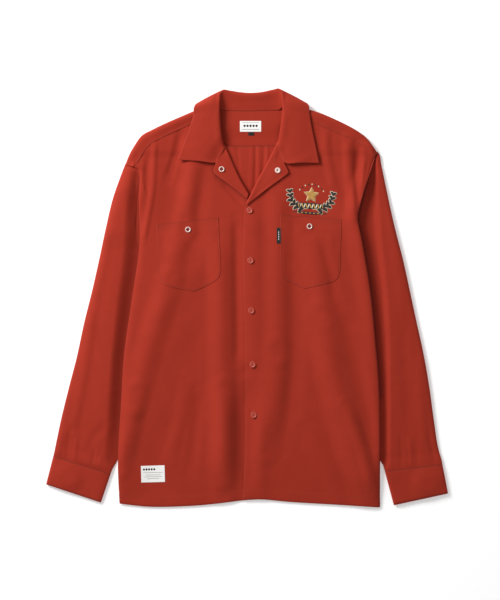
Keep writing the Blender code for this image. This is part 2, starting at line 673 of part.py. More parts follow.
def make_sleeve(side, collection, pile):
    armhole = armhole_line(side)
    near_end = armhole.shifted(side * 3)
    front_end = armhole.shifted(-side * (LAP - 1))
    back_end = armhole.shifted(-side * HIDDEN_LAP)
    straight_end = (armhole.at(0), armhole.at(1))
    cuff = CUFF[side]
    cuff_wall = COLLAR_CLOTH + GAP + REST_GAP
    yoke_end = YOKE[0 if side == RIGHT else -1].back_y

    def end_plan(front_line, back_line):
        inset = SLEEVE_END_INSET / armhole.reach[-1]
        return lambda share, front: (front_line if front else back_line).at(inset + share * (1 - inset))

    def end_floor(_x, y):
        return (CLOTH + 2 * GAP) * smooth(yoke_end - 45, yoke_end - 4, y)

    def end_height(_x, _y):
        return SLEEVE_FLAT

    def bent_plan(section):
        outer, inner = section_line(section, side)

        def plan(share, _front):
            bow = [a - s for a, s in zip(armhole.at(share), mix(*straight_end, share))]
            x, y = mix(outer, inner, share)
            return x + section.bend * bow[0], y + section.bend * bow[1]
        return plan

    def on_floor(_x, _y):
        return 0.0

    def loft(amount):
        def height(x, y):
            free = smooth(3, 32, -body_edge_distance(x, y))
            return SLEEVE_FLAT + free * max(0.0, amount + fold_height(SLEEVE_FOLDS[side], x, y))
        return height

    def cuff_plan(along):
        outer = mix(cuff.seam_outer, cuff.end_outer, along)
        inner = mix(cuff.seam_inner, cuff.end_inner, along)
        inset = CUFF_INSET / math.dist(outer, inner)
        return lambda share, _front: mix(outer, inner, inset + share * (1 - 2 * inset))

    def in_cuff_floor(x, y):
        return cuff_floor(side, x, y) + cuff_wall

    def in_cuff_height(_x, _y):
        return CUFF_HEIGHT - 2 * cuff_wall

    rings = [
        tube_ring(end_plan(front_end, back_end), end_floor, end_height, CLOTH),
        tube_ring(end_plan(near_end, near_end), end_floor, end_height, CLOTH),
    ]
    for section in SLEEVE[side]:
        rings.append(tube_ring(bent_plan(section), on_floor, loft(section.loft), CLOTH))
    for along in (-0.09, 0.10):
        rings.append(tube_ring(cuff_plan(along), in_cuff_floor, in_cuff_height, CLOTH - 0.2))
    outer, inner = (list(grid) for grid in zip(*rings))
    pile.lay([outer, inner], ring=True)
    return shell("sleeve_" + SIDE_NAME[side], outer, inner, "twill", collection, ring=True)


def make_cuff(side, collection, pile):
    cuff = CUFF[side]

    def plan_at(along):
        outer = mix(cuff.seam_outer, cuff.end_outer, along)
        inner = mix(cuff.seam_inner, cuff.end_inner, along)
        return lambda share, _front: mix(outer, inner, share)

    def floor(x, y):
        return cuff_floor(side, x, y)

    def height(_x, _y):
        return CUFF_HEIGHT

    places = (0.0, 0.08, 0.36, 0.64, 0.9, 1.0)
    rings = [tube_ring(plan_at(along), floor, height, COLLAR_CLOTH) for along in places]
    outer, inner = (list(grid) for grid in zip(*rings))
    pile.lay([outer, inner], ring=True)
    return shell("cuff_" + SIDE_NAME[side], outer, inner, "twill", collection, ring=True)


# ---------------------------------------------------------------- back, fronts, yoke
def make_back(collection, pile):
    edges = {}
    for side in (RIGHT, LEFT):
        seam = [(x, y + (2 if i == 0 else 0)) for i, (x, y) in enumerate(SIDE_SEAM[side])]
        tucked = Path(ARMHOLE[side]).shifted(side * (HIDDEN_LAP - LAP)).points
        stop = BACK_YOKE_SEAM[0 if side == RIGHT else -1]
        tucked = [p for p in tucked if p[1] < stop[1] - 4]
        edges[side] = Path(seam[:-1] + [(seam[-1][0] - side * 3, seam[-1][1])] + tucked[8::8]
                           + [(stop[0] - side * 2, stop[1])])
    top = Path([edges[RIGHT].at(1)] + BACK_YOKE_SEAM[1:-1] + [edges[LEFT].at(1)])
    hem = Path([edges[RIGHT].at(0)] + [(x, y + 2) for x, y in HEM[1:-1]] + [edges[LEFT].at(0)])
    plan = patch(hem, top, edges[RIGHT], edges[LEFT], edge_shares(21, 470, first=6, second=16), shares(17))
    lower = [[(x, y, sleeve_lift(x, y)) for x, y in row] for row in plan]
    return sheet("back", settle(lower, pile, 2 * GAP), CLOTH, "twill", collection, pile)


def make_front(side, collection, pile):
    seam = Path(FRONT_YOKE_SEAM[side]).shifted(-side * LAP)
    outer_edge = Path(SIDE_SEAM[side] + ARMHOLE[side][1:3] + [seam.at(0)])
    centre_edge = Path(FRONT_EDGE[side] + ROLL_LINE[side][1:] + NECKLINE[side][1:-1] + [seam.at(1)])
    hem_points = [p for p in HEM if side * p[0] > side * FRONT_EDGE[side][0][0]]
    hem_points = hem_points if side == RIGHT else list(reversed(hem_points))
    hem = Path([outer_edge.at(0)] + hem_points[1:] + [centre_edge.at(0)])
    across = edge_shares(29, 255, ends=(True, False))
    roll_start = centre_edge.share_of_knot(len(FRONT_EDGE[side]) - 1)
    roll_end = centre_edge.share_of_knot(len(FRONT_EDGE[side]) + len(ROLL_LINE[side]) - 2)
    plan = patch(hem, seam, outer_edge, centre_edge, across, shares(21, (roll_start, roll_end)))
    lower = [[(x, y, front_height(x, y)) for x, y in row] for row in plan]
    return sheet("front_" + SIDE_NAME[side], settle(lower, pile), CLOTH, "twill", collection, pile)


def yoke_share(row, reach):
    """How far along its whole column a row of the yoke lies, for a column that stops early."""
    before_fold = 0.42 if reach > 0.42 else 0.385
    if row <= 0.42:
        return row / 0.42 * before_fold
    return before_fold + (row - 0.42) / 0.58 * (reach - before_fold)


def yoke_column(column, outer_top):
    """One column of the yoke: plan and level of its outer side, and of its inner side."""
    back = (column.back_x, column.back_y)
    fold = (column.fold_x, column.fold_y)
    front = (column.front_x, column.front_y)
    back_run = Path([back, mix(fold, back, YOKE_FOLD / math.dist(fold, back))], rounded=False)
    front_run = Path([mix(fold, front, YOKE_FOLD / math.dist(fold, front)), front], rounded=False)
    outer, inner = [], []
    for row in YOKE_ROWS:
        share = yoke_share(row, column.reach)
        if share <= 0.42:
            x, y = back_run.at(share / 0.42)
            level = collar_lift(x, y)
            outer.append((x, y, level))
            inner.append((x, y, level + CLOTH))
        elif share < 0.66:
            angle = math.pi * (share - 0.42) / 0.24
            start, end = back_run.at(1), front_run.at(0)
            low, high = collar_lift(*start), outer_top(*end)
            base = mix(start, end, 0.5 - 0.5 * math.cos(angle))
            middle, half = (low + high) / 2, (high - low) / 2
            outward = mix((0.0, 0.0), (fold[0] - base[0], fold[1] - base[1]), math.sin(angle))
            outer.append((base[0] + outward[0], base[1] + outward[1], middle - half * math.cos(angle)))
            keep = 1 - FOLD_WALL * CLOTH / YOKE_FOLD
            inner.append((base[0] + outward[0] * keep, base[1] + outward[1] * keep,
                          middle - (half - CLOTH) * math.cos(angle)))
        else:
            x, y = front_run.at((share - 0.66) / 0.34)
            level = outer_top(x, y)
            outer.append((x, y, level))
            inner.append((x, y, level - CLOTH))
    return outer, inner


def yoke_grids(outer_top):
    columns = [yoke_column(column, outer_top) for column in YOKE]
    outer, inner = (list(grid) for grid in zip(*columns))
    return [list(row) for row in zip(*outer)], [list(row) for row in zip(*inner)]


def yoke_top(x, y):
    return max(front_height(x, y), SLEEVE_FLAT + CLOTH + GAP) + 2 * CLOTH + GAP + 0.8


def lay_yoke_back(pile):
    """The part of the yoke behind the shoulders, for the pieces that lie on it."""
    grid = []
    for column in YOKE:
        back, fold = (column.back_x, column.back_y), (column.fold_x, column.fold_y)
        run = [mix(back, fold, share * (1 - YOKE_FOLD / math.dist(fold, back))) for share in shares(6)]
        grid.append([(x, y, collar_lift(x, y) + CLOTH) for x, y in run])
    pile.lay([grid])


def make_yoke(collection, pile):
    outer, inner = yoke_grids(yoke_top)
    first_upper = YOKE_ROWS.index(0.66)
    settled = settle(inner, pile, rows=list(range(first_upper, len(YOKE_ROWS))))
    for r in range(first_upper, len(YOKE_ROWS)):
        for c, column in enumerate(YOKE):
            rise = settled[r][c][2] - inner[r][c][2]
            if yoke_share(YOKE_ROWS[r], column.reach) >= 0.66:
                x, y, z = outer[r][c]
                outer[r][c] = (x, y, z + rise)
                inner[r][c] = settled[r][c]
    pile.lay([outer, inner])
    return shell("yoke", outer, inner, "twill", collection)


# ---------------------------------------------------------------- lapels and collar
def make_lapel(side, collection, pile):
    roll = Path(ROLL_LINE[side]).shifted(side * ROLL_OFFSET)
    edge = Path(LAPEL_EDGE[side])
    plan = [[mix(roll.at(0.04 + 0.93 * v), edge.at(0.02 + 0.95 * v), u) for u in (0, 0.08, 0.3, 0.55, 0.8, 1)]
            for v in shares(11)]
    rise = (0.5, 1.0, 1.3, 1.0, 0.6, 0.3)
    lower = [[(x, y, pile.floor(x, y) + rise[c]) for c, (x, y) in enumerate(row)] for row in plan]
    return sheet("lapel_" + SIDE_NAME[side], settle(lower, pile), CLOTH, "twill", collection, pile)


def collar_station(station, towards_neck):
    """Middle of the cloth at one station, from the seam over the roll to the free edge."""
    turn = math.radians(abs(station.turn))
    neckward = Vector((*towards_neck, 0.0))
    up = Vector((0, 0, 1))
    across = math.cos(turn) * up + math.sin(turn) * neckward
    inward = math.cos(turn) * neckward - math.sin(turn) * up
    seam, roll, middle, edge = (Vector(p) for p in (station.seam, station.roll, station.middle, station.edge))
    centre = roll + inward * ROLL_RADIUS
    stand_end = centre + across * ROLL_RADIUS
    fall_start = centre - across * ROLL_RADIUS

    def fall(t):
        return fall_start * (1 - t) ** 2 + middle * 2 * t * (1 - t) + edge * t * t

    stand = [seam, seam.lerp(stand_end, 0.5), stand_end]
    return stand + [roll, fall_start, fall(0.25), fall(0.5), fall(0.78), edge]


def collar_middle():
    rolls = [station.roll for station in COLLAR]
    grid = []
    for i, station in enumerate(COLLAR):
        a, b = rolls[max(0, i - 1)], rolls[min(len(rolls) - 1, i + 1)]
        along = Vector((b[0] - a[0], b[1] - a[1])).normalized()
        normal = (along.y, -along.x)
        grid.append(collar_station(station, normal))
    return grid


def sides_of(middle, wall):
    """The two sides of a sheet, half its wall from the middle along its own normals."""
    rows, cols = len(middle), len(middle[0])
    above, below = [], []
    for r in range(rows):
        up_row, down_row = [], []
        for c in range(cols):
            along = Vector(middle[min(rows - 1, r + 1)][c]) - Vector(middle[max(0, r - 1)][c])
            over = Vector(middle[r][min(cols - 1, c + 1)]) - Vector(middle[r][max(0, c - 1)])
            normal = along.cross(over).normalized() * (wall / 2)
            point = Vector(middle[r][c])
            up_row.append(tuple(point + normal))
            down_row.append(tuple(point - normal))
        above.append(up_row)
        below.append(down_row)
    return above, below


def make_collar(collection, pile):
    middle = collar_middle()
    folded_over = [i for i, station in enumerate(COLLAR) if abs(station.turn) > 90]
    for half in (folded_over[:len(folded_over) // 2], folded_over[len(folded_over) // 2:]):
        middle = settle(middle, pile, GAP + 0.6 * COLLAR_CLOTH, rows=half)
    above, below = sides_of(middle, COLLAR_CLOTH)
    grids = []
    for grid in (above, below):
        grids.append([[(x, y, max(0.0, z)) for x, y, z in row] for row in grid])
    pile.lay(grids)
    return shell("collar", grids[0], grids[1], "twill", collection)


# ---------------------------------------------------------------- pockets, labels, fastenings
def pocket_plan(side, columns, rows):
    """Plan grid of a patch pocket: straight top and sides, and a pointed foot."""
    foot = Path(POCKET_FOOT[side], rounded=False)
    across = shares(columns, [foot.share_of_knot(i) for i in range(1, len(foot.knots) - 1)])
    return [[mix(foot.at(u), mix(*POCKET_TOP[side], u), v) for u in across] for v in shares(rows)]


def make_pocket(side, collection, pile):
    plan = pocket_plan(side, 13, 9)
    lower = [[(x, y, pile.floor(x, y)) for x, y in row] for row in plan]
    return sheet("pocket_" + SIDE_NAME[side], settle(lower, pile), CLOTH, "twill", collection, pile)


def make_label(name, collection, pile):
    label = LABELS[name]
    angle = math.radians(label.turn)
    plan = []
    for v in shares(4):
        row = []
        for u in shares(5):
            dx, dy = (u - 0.5) * label.width, (v - 0.5) * label.length
            row.append((label.x + dx * math.cos(angle) - dy * math.sin(angle),
                        label.y + dx * math.sin(angle) + dy * math.cos(angle)))
        plan.append(row)
    lower = [[(x, y, pile.floor(x, y)) for x, y in row] for row in plan]
    return sheet(name, settle(lower, pile), TRIM_WALL, label.material, collection, pile)


def highest_under(pile, x, y, radius):
    """Highest spot of the pile under a small round piece."""
    levels = [pile.floor(x, y)]
    for share in (0.35, 0.7, 1.0):
        for turn in range(16):
            angle = turn * math.pi / 8
            reach = share * radius
            levels.append(pile.floor(x + reach * math.cos(angle), y + reach * math.sin(angle)))
    return max(levels)


def turned(name, profile, steps, look, collection, location, upside_down=False):
    """A piece turned about Z from a profile that runs down its outer side."""
    mesh = bpy.data.meshes.new(name)
    work = bmesh.new()
    verts = [work.verts.new((r * MM, 0.0, z * MM)) for r, z in profile]
    for a, b in zip(verts, verts[1:]):
        work.edges.new((a, b))
    work.to_mesh(mesh)
    work.free()
    obj = add_object(name, mesh, look, collection)
    screw = obj.modifiers.new("turn", "SCREW")
    screw.steps = steps
    screw.render_steps = steps
    screw.use_merge_vertices = True
    screw.merge_threshold = 0.00002
    obj.location = [k * MM for k in location]
    if upside_down:
        obj.rotation_euler = (math.pi, 0.0, 0.0)
    return obj


def eye_cutter(cutters):
    """The long recess down the middle of a button."""
    work = bmesh.new()
    bmesh.ops.create_cone(work, cap_ends=True, segments=12, radius1=0.44 * MM, radius2=0.5 * MM,
                          depth=2 * EYE_DEPTH * MM)
    bmesh.ops.scale(work, vec=(EYE_WIDTH, EYE_LENGTH, 1.0), verts=work.verts)
    bmesh.ops.translate(work, vec=(0, 0, (BUTTON_HEIGHT - BUTTON_DISH) * MM), verts=work.verts)
    mesh = bpy.data.meshes.new("button_eye")
    work.to_mesh(mesh)
    work.free()
    cutter = bpy.data.objects.new("button_eye", mesh)
    cutters.objects.link(cutter)
    cutter.hide_render = True
    cutter.display_type = "WIRE"
    return cutter


def make_button(name, x, y, z, collection, cutters, upside_down=False):
    """Round shirt button with a raised rim and a long recess down its middle."""
    radius, height = BUTTON_RADIUS, BUTTON_HEIGHT
    dish = height - BUTTON_DISH
    profile = [(0, dish), (radius - BUTTON_RIM, dish), (radius - 0.6 * BUTTON_RIM, height),
               (radius, 0.7 * height), (radius - 0.6 * BUTTON_RIM, 0.0), (0, 0.0)]
    button = turned(name, profile, 16, "button", collection, (x, y, z), upside_down)
    cutter = eye_cutter(cutters)
    cutter.parent = button
    cut = button.modifiers.new("eye", "BOOLEAN")
    cut.operation = "DIFFERENCE"
    cut.object = cutter
    return button


def make_snap(name, x, y, z, collection):
    """Ring of a press stud, with the hollow in its middle."""
    radius, height = SNAP_RADIUS, SNAP_HEIGHT
    profile = [(0, SNAP_FLOOR), (0.5 * radius, SNAP_FLOOR), (0.62 * radius, height), (0.85 * radius, height),
               (radius, 0.6 * height), (radius, 0.0), (0, 0.0)]
    return turned(name, profile, 16, "snap", collection, (x, y, z))


# ---------------------------------------------------------------- the shirt
def clear_scene():
    for obj in list(bpy.data.objects):
        bpy.data.objects.remove(obj, do_unlink=True)


def new_collection(name):
    collection = bpy.data.collections.new(name)
    bpy.context.scene.collection.children.link(collection)
    return collection


def main():
    clear_scene()
    shirt = new_collection("work_shirt")
    cutters = new_collection("cutters")
    pile = Pile()

    for side in (RIGHT, LEFT):
        x, y = cuff_button_place(side)
        level = BUTTON_HEIGHT + REST_GAP
        make_button("cuff_button_" + SIDE_NAME[side], x, y, level, shirt, cutters, upside_down=True)
    lay_yoke_back(pile)
    for side in (RIGHT, LEFT):
        make_sleeve(side, shirt, pile)
    for side in (RIGHT, LEFT):
        make_cuff(side, shirt, pile)
    make_back(shirt, pile)
    for side in (RIGHT, LEFT):
        make_front(side, shirt, pile)
    make_yoke(shirt, pile)
    for side in (RIGHT, LEFT):
        make_pocket(side, shirt, pile)
        make_lapel(side, shirt, pile)
    make_collar(shirt, pile)
    for name in LABELS:
        make_label(name, shirt, pile)
    for number, (x, y) in enumerate(BUTTONS, start=1):
        level = highest_under(pile, x, y, BUTTON_RADIUS) + REST_GAP
        make_button(f"button_{number}", x, y, level, shirt, cutters)
    for name, (x, y) in SNAPS.items():
        level = highest_under(pile, x, y, SNAP_RADIUS) + REST_GAP
        make_snap(name, x, y, level, shirt)


main()
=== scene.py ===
import math
from collections import namedtuple
from functools import partial

import bmesh
import bpy
import numpy as np
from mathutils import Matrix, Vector
from mathutils.bvhtree import BVHTree
from mathutils.kdtree import KDTree


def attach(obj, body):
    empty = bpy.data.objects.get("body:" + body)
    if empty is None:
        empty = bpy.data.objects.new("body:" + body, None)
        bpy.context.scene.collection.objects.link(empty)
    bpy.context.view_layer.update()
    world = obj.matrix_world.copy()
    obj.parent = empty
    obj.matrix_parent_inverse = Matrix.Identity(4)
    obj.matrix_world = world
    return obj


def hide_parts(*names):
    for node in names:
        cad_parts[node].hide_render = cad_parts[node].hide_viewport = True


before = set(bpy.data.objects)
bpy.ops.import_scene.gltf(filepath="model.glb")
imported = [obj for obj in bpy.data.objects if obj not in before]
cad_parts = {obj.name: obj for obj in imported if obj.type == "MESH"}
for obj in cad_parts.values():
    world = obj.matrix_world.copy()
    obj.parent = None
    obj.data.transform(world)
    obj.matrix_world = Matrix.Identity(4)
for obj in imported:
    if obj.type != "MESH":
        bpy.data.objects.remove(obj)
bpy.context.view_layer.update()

MM = 0.001
BODY = "root"
RIGHT, LEFT = -1, 1     # the wearer's sides: -X and +X
SIDES = (RIGHT, LEFT)
SIDE_NAME = {RIGHT: "right", LEFT: "left"}

# ---------------------------------------------------------------- sizes of the solids, mm
CLOTH = 1.3             # wall of one layer of twill
GAP = 0.3               # clearance kept between neighbouring pieces
LAP = 5.0               # width by which one piece lies over the next along a seam
HIDDEN_LAP = 16.0       # width of the sleeve's back wall tucked under the body's back
SLEEVE_FLAT = 3.7       # height of a sleeve where the body lies on it
SLEEVE_EDGE = 6.0       # plan depth of the rounded fold along a sleeve's edges
CUFF_HEIGHT = 7.6       # height of a closed cuff
BODY_LOFT = 4.2         # air between the front and the back of the body
EDGE_ROLL = 13.0        # plan depth over which the front rounds down to the side seam
CUFF_INSET = 3.4        # from a cuff's two folds to the sleeve that ends inside it
ROLL_OFFSET = 1.0       # from a front's rolled edge to the lapel's inner edge
BUTTON_RADIUS = 5.8
BUTTON_HEIGHT = 2.2
BUTTON_RIM = 1.9        # width of a button's raised rim
BUTTON_DISH = 0.5       # depth of the dish inside the rim
EYE_LENGTH, EYE_WIDTH = 6.0, 2.5    # the long recess in which a button is sewn
EYE_DEPTH = 0.7
SNAP_RADIUS = 5.3
SNAP_HEIGHT = 1.8
STUD_OPENING = 0.69 * SNAP_RADIUS   # radius of the opening in a ring stud
CAP_HOLE = 1.5          # radius of the hole in a closed one
REST_GAP = 0.1          # further clearance under a button or a snap
SOLID_COLLAR_CLOTH = 1.6    # wall of the collar's and cuffs' solids
CUFF_BUTTON_ACROSS, CUFF_BUTTON_ALONG = 0.32, 0.55      # shares of a cuff's width and length
CUFF_WALL = SOLID_COLLAR_CLOTH + GAP + REST_GAP     # what lies between a sleeve's end and its cuff's outside
CUFF_LENGTH = 55

# ---------------------------------------------------------------- sizes of the cloth, mm
TWILL = 0.55            # one layer
HEM_CLOTH = 1.15        # three layers, where an edge is turned in twice
COLLAR_CLOTH = 1.25     # two layers with an interlining
LAPEL_CLOTH = 0.9
CUFF_CLOTH = 1.2
LABEL_CLOTH = 0.4
HEM_WIDTH = 18.0
POCKET_HEM = 24.0
EDGE_STITCH = 2.0       # from a sewn edge to its row of stitches
HEM_STITCH = HEM_WIDTH - 1.4
STITCH_PITCH = 2.9
STITCH_LENGTH = 2.3
STITCH_UNEVEN = (0.88, 1.08)    # a stitch's size varies between these shares of it
STITCH_SEED = 7
THREAD = 0.42           # thickness of the sewing thread
GROOVE_DEPTH = 0.14     # dimple that a row of stitches pulls into the cloth
GROOVE_WIDTH = 0.9

# ---------------------------------------------------------------- plan lines of the shirt, mm
HEM = [(-238, -384), (-175, -390), (-88, -387), (-8, -378), (28, -376), (83, -381), (168, -386), (248, -391)]
SIDE_SEAM = {
    RIGHT: [(-238, -384), (-241, -299), (-235, -195), (-229, -103), (-215, -4), (-201, 97)],
    LEFT: [(248, -391), (247, -190), (239, -79), (230, 11), (215, 101), (206, 146)],
}
ARMHOLE = {
    RIGHT: [(-201, 97), (-202, 183), (-201, 232), (-209, 243), (-228, 250)],
    LEFT: [(206, 146), (210, 170), (220, 207), (234, 256), (244, 272)],
}
ARMHOLE_FOOT = {RIGHT: (-138, 55), LEFT: (150, 88)}
FRONT_YOKE_SEAM = {
    RIGHT: [(-209, 243), (-199, 262), (-182, 285), (-163, 297), (-106, 324), (-68, 342)],
    LEFT: [(236, 262), (223, 278), (207, 289), (173, 306), (120, 329), (79, 347)],
}
BACK_YOKE_SEAM = [(-203, 236), (-172, 263), (-110, 283), (0, 284), (110, 284), (186, 274), (229, 256)]
FRONT_EDGE = {
    RIGHT: [(27, -376), (27, -120), (26, 60), (24, 150), (4, 191)],
    LEFT: [(-7, -377), (-3, -234), (-4, -60), (-8, 70), (-6, 140), (-3, 171)],
}
ROLL_LINE = {
    RIGHT: [(4, 191), (-16, 226), (-36, 271)],
    LEFT: [(-3, 171), (19, 217), (33, 242), (51, 277)],
}
NECKLINE = {
    RIGHT: [(-36, 271), (-54, 279), (-65, 300), (-69, 322), (-68, 342)],
    LEFT: [(51, 277), (66, 285), (77, 302), (81, 325), (79, 347)],
}
LAPEL_EDGE = {
    RIGHT: [(2, 184), (-22, 203), (-42, 218), (-58, 230), (-62, 238), (-58, 253), (-37, 271)],
    LEFT: [(-2, 171), (10, 182), (31, 199), (73, 230), (76, 237), (69, 253), (54, 280)],
}
POCKET_TOP = {          # upper corners of the patch pockets, by increasing x
    RIGHT: [(-169, 137), (-54, 150)],
    LEFT: [(62, 155), (176, 146)],
}
POCKET_FOOT = {         # their lower edges: round one shoulder to the point, and round the other
    RIGHT: [(-166, 58), (-163, 38), (-149, 23), (-99, 12.5), (-70, 26), (-54, 37), (-49, 52)],
    LEFT: [(63, 50), (66, 39), (84, 28), (108, 17.5), (151, 28), (167, 35), (173, 52)],
}

# A sleeve's sections: the point on its outer fold, its flat width from there, the angle in degrees by
# which the section drops towards the inner fold, the share of the armhole's bend in it, and its loft.
Section = namedtuple("Section", "outer_x outer_y width slant bend loft")
SLEEVE = {
    RIGHT: [
        Section(-236, 228, 205, 62, 1.0, 1.5),
        Section(-249, 191, 192, 56.5, 0.80, 3.0),
        Section(-263, 134, 176, 49.4, 0.50, 4.0),
        Section(-276, 73, 164, 42, 0.20, 4.4),
        Section(-290, 11, 157, 33, 0.05, 4.2),
        Section(-304, -45, 151, 26, 0.0, 4.0),
        Section(-318, -110, 144, 21, 0.0, 4.0),
        Section(-333, -168, 137, 19, 0.0, 3.6),
        Section(-347, -225, 128, 18, 0.0, 3.0),
        Section(-357, -272, 118, 17.6, 0.0, 1.6),
    ],
    LEFT: [
        Section(251, 248, 199, 59.6, 1.0, 1.5),
        Section(262, 195, 178, 51.8, 0.80, 3.0),
        Section(276, 132, 164, 42.3, 0.50, 4.0),
        Section(291, 73, 158, 33.9, 0.20, 4.4),
        Section(304, 14, 154, 28, 0.05, 4.2),
        Section(316, -42, 148, 24, 0.0, 4.0),
        Section(329, -101, 142, 20, 0.0, 4.0),
        Section(340, -163, 134, 17, 0.0, 3.6),
        Section(349, -228, 124, 13, 0.0, 3.0),
        Section(358, -284, 113, 8.5, 0.0, 1.6),
    ],
}
Cuff = namedtuple("Cuff", "seam_outer seam_inner end_outer end_inner")
CUFF = {
    RIGHT: Cuff((-362, -295), (-255, -329), (-375.5, -348), (-273, -382)),
    LEFT: Cuff((365, -311), (257, -323), (375.5, -365), (274, -387)),
}

# The yoke's columns run from its back seam over the shoulder fold to its front seam, x y of each. In the
# neck they stop early, after a share of that way.
Column = namedtuple("Column", "back_x back_y fold_x fold_y front_x front_y reach", defaults=(1.0,))
YOKE = [
    Column(-206, 233, -228, 250, -209, 243),
    Column(-193, 242, -221, 267, -203, 255),
    Column(-181, 252, -211, 285, -193, 272),
    Column(-168, 261, -198, 303, -182, 285),
    Column(-145, 269, -177, 315, -163, 297),
    Column(-125, 275, -150, 328, -134, 311),
    Column(-104, 278, -120, 341, -106, 324),
    Column(-84, 279, -96, 351, -86, 334),
    Column(-72, 279, -80, 357, -73, 340),
    Column(-64, 279, -70, 361, -66, 344, 0.84),
    Column(-58, 279, -63, 362, -60, 346, 0.66),
    Column(-52, 279, -57, 359, -54, 346, 0.54),
    Column(-46, 279, -50, 353, -48, 345, 0.42),
    Column(-28, 279, -29, 349, -28, 340, 0.42),
    Column(5, 279, 5, 348, 5, 340, 0.42),
    Column(38, 279, 38, 350, 38, 340, 0.42),
    Column(58, 279, 60, 355, 58, 348, 0.42),
    Column(64, 279, 67, 361, 65, 347, 0.54),
    Column(70, 279, 74, 363, 71, 348, 0.63),
    Column(77, 279, 82, 362, 78, 347, 0.82),
    Column(87, 279, 94, 359, 87, 343),
    Column(96, 279, 107, 355, 97, 339),
    Column(116, 279, 134, 347, 120, 329),
    Column(140, 277, 163, 335, 147, 317),
    Column(162, 274, 186, 324, 173, 306),
    Column(182, 269, 207, 312, 193, 297),
    Column(200, 262, 224, 299, 207, 289),
    Column(214, 257, 236, 283, 223, 278),
    Column(228, 251, 244, 272, 236, 262),
]
YOKE_ROWS = (0.0, 0.14, 0.28, 0.42, 0.48, 0.54, 0.60, 0.66, 0.77, 0.88, 1.0)
TURN_START, TURN_END = 0.42, 0.66   # the rows between which the yoke turns over the shoulder
YOKE_FOLD = 5.0         # plan depth of that turn

# The collar's stations from its right end round the back of the neck: seam, roll, middle and free edge,
# x y z of each, and the way the roll faces.
Station = namedtuple("Station", "seam roll middle edge turn")
COLLAR = [
    Station((-49, 274, 9.0), (-36, 271, 11.5), (-58, 254, 13.0), (-128, 258, 11.5), 180),
    Station((-58, 283, 8.6), (-42, 282, 12.0), (-75, 272, 14.5), (-125, 268, 11.8), 180),
    Station((-64, 302, 8.4), (-47, 302, 13.0), (-80, 300, 16.0), (-116, 292, 12.0), 175),
    Station((-67, 323, 8.4), (-49.5, 325, 14.0), (-79, 326, 16.5), (-107, 318, 12.2), 165),
    Station((-67, 338, 8.8), (-51, 348, 15.0), (-77, 347, 17.0), (-100, 340, 12.6), 145),
    Station((-63.8, 349.5, 9.3), (-51.5, 368, 16.0), (-76, 367, 16.0), (-98, 357, 12.5), 115),
    Station((-54.8, 352.8, 7.4), (-51, 382, 14.0), (-76, 376, 7.0), (-92, 362, 2.2), 80),
    Station((-51, 354, 5.8), (-45, 388, 10.5), (-66, 379, 1.2), (-79, 353, 0.8), 45),
    Station((-42, 352.5, 4.0), (-33, 387, 7.4), (-44, 376, 0.8), (-52, 340, 0.8), 15),
    Station((-20, 350, 3.8), (-14, 384, 6.6), (-18, 370, 0.8), (-22, 338, 0.8), 0),
    Station((5, 349.5, 3.8), (5, 382.5, 6.4), (5, 368, 0.8), (5, 337, 0.8), 0),
    Station((30, 350.5, 3.8), (27, 384, 6.6), (30, 370, 0.8), (33, 338, 0.8), 0),
    Station((53, 355.5, 4.0), (48, 388.5, 7.4), (58, 376, 0.8), (64, 341, 0.8), -15),
    Station((62, 357.5, 5.8), (60, 390, 10.5), (81, 380, 1.2), (93, 355, 0.8), -45),
    Station((66.5, 357, 7.8), (65.5, 384, 14.0), (91, 378, 7.0), (107, 363, 2.2), -80),
    Station((73, 350.5, 8.8), (66, 369, 16.0), (91, 369, 16.0), (114, 360, 12.5), -115),
    Station((77, 340, 8.6), (66, 350, 15.0), (91, 348, 17.0), (116, 342, 12.6), -145),
    Station((78, 324, 8.4), (63.5, 328, 14.0), (91, 326, 16.5), (120, 318, 12.2), -165),
    Station((75, 305, 8.4), (60.5, 307, 13.0), (91, 300, 16.0), (126, 290, 12.0), -175),
    Station((70, 290, 8.6), (57, 289, 12.0), (86, 271, 14.5), (131, 266, 11.8), -180),
    Station((63, 281, 9.0), (52, 279, 11.5), (70, 253, 13.0), (134, 252, 11.5), -180),
]
ROLL_RADIUS = 1.3       # tighter than the solid's, which has a thicker wall
# What shows of the collar's ends, which turn a corner at the gorge seams, and of the lapels that run on
# under them.
GORGE = {
    RIGHT: Station((-51, 281, 9.0), (-40.5, 280.5, 11.6), (-56, 253, 12.6), (-128, 258, 11.5), 180),
    LEFT: Station((64, 289, 9.0), (54.5, 286.5, 11.6), (71, 252.5, 12.6), (134, 252, 11.5), -180),
}
LAPEL_ROLL_SHOWN = {RIGHT: [*ROLL_LINE[RIGHT], (-43, 286)], LEFT: [*ROLL_LINE[LEFT], (57, 291)]}
LAPEL_EDGE_SHOWN = {RIGHT: [*LAPEL_EDGE[RIGHT][:-1], (-57, 268), (-50, 287)],
                    LEFT: [*LAPEL_EDGE[LEFT][:-1], (69, 268), (64, 292)]}

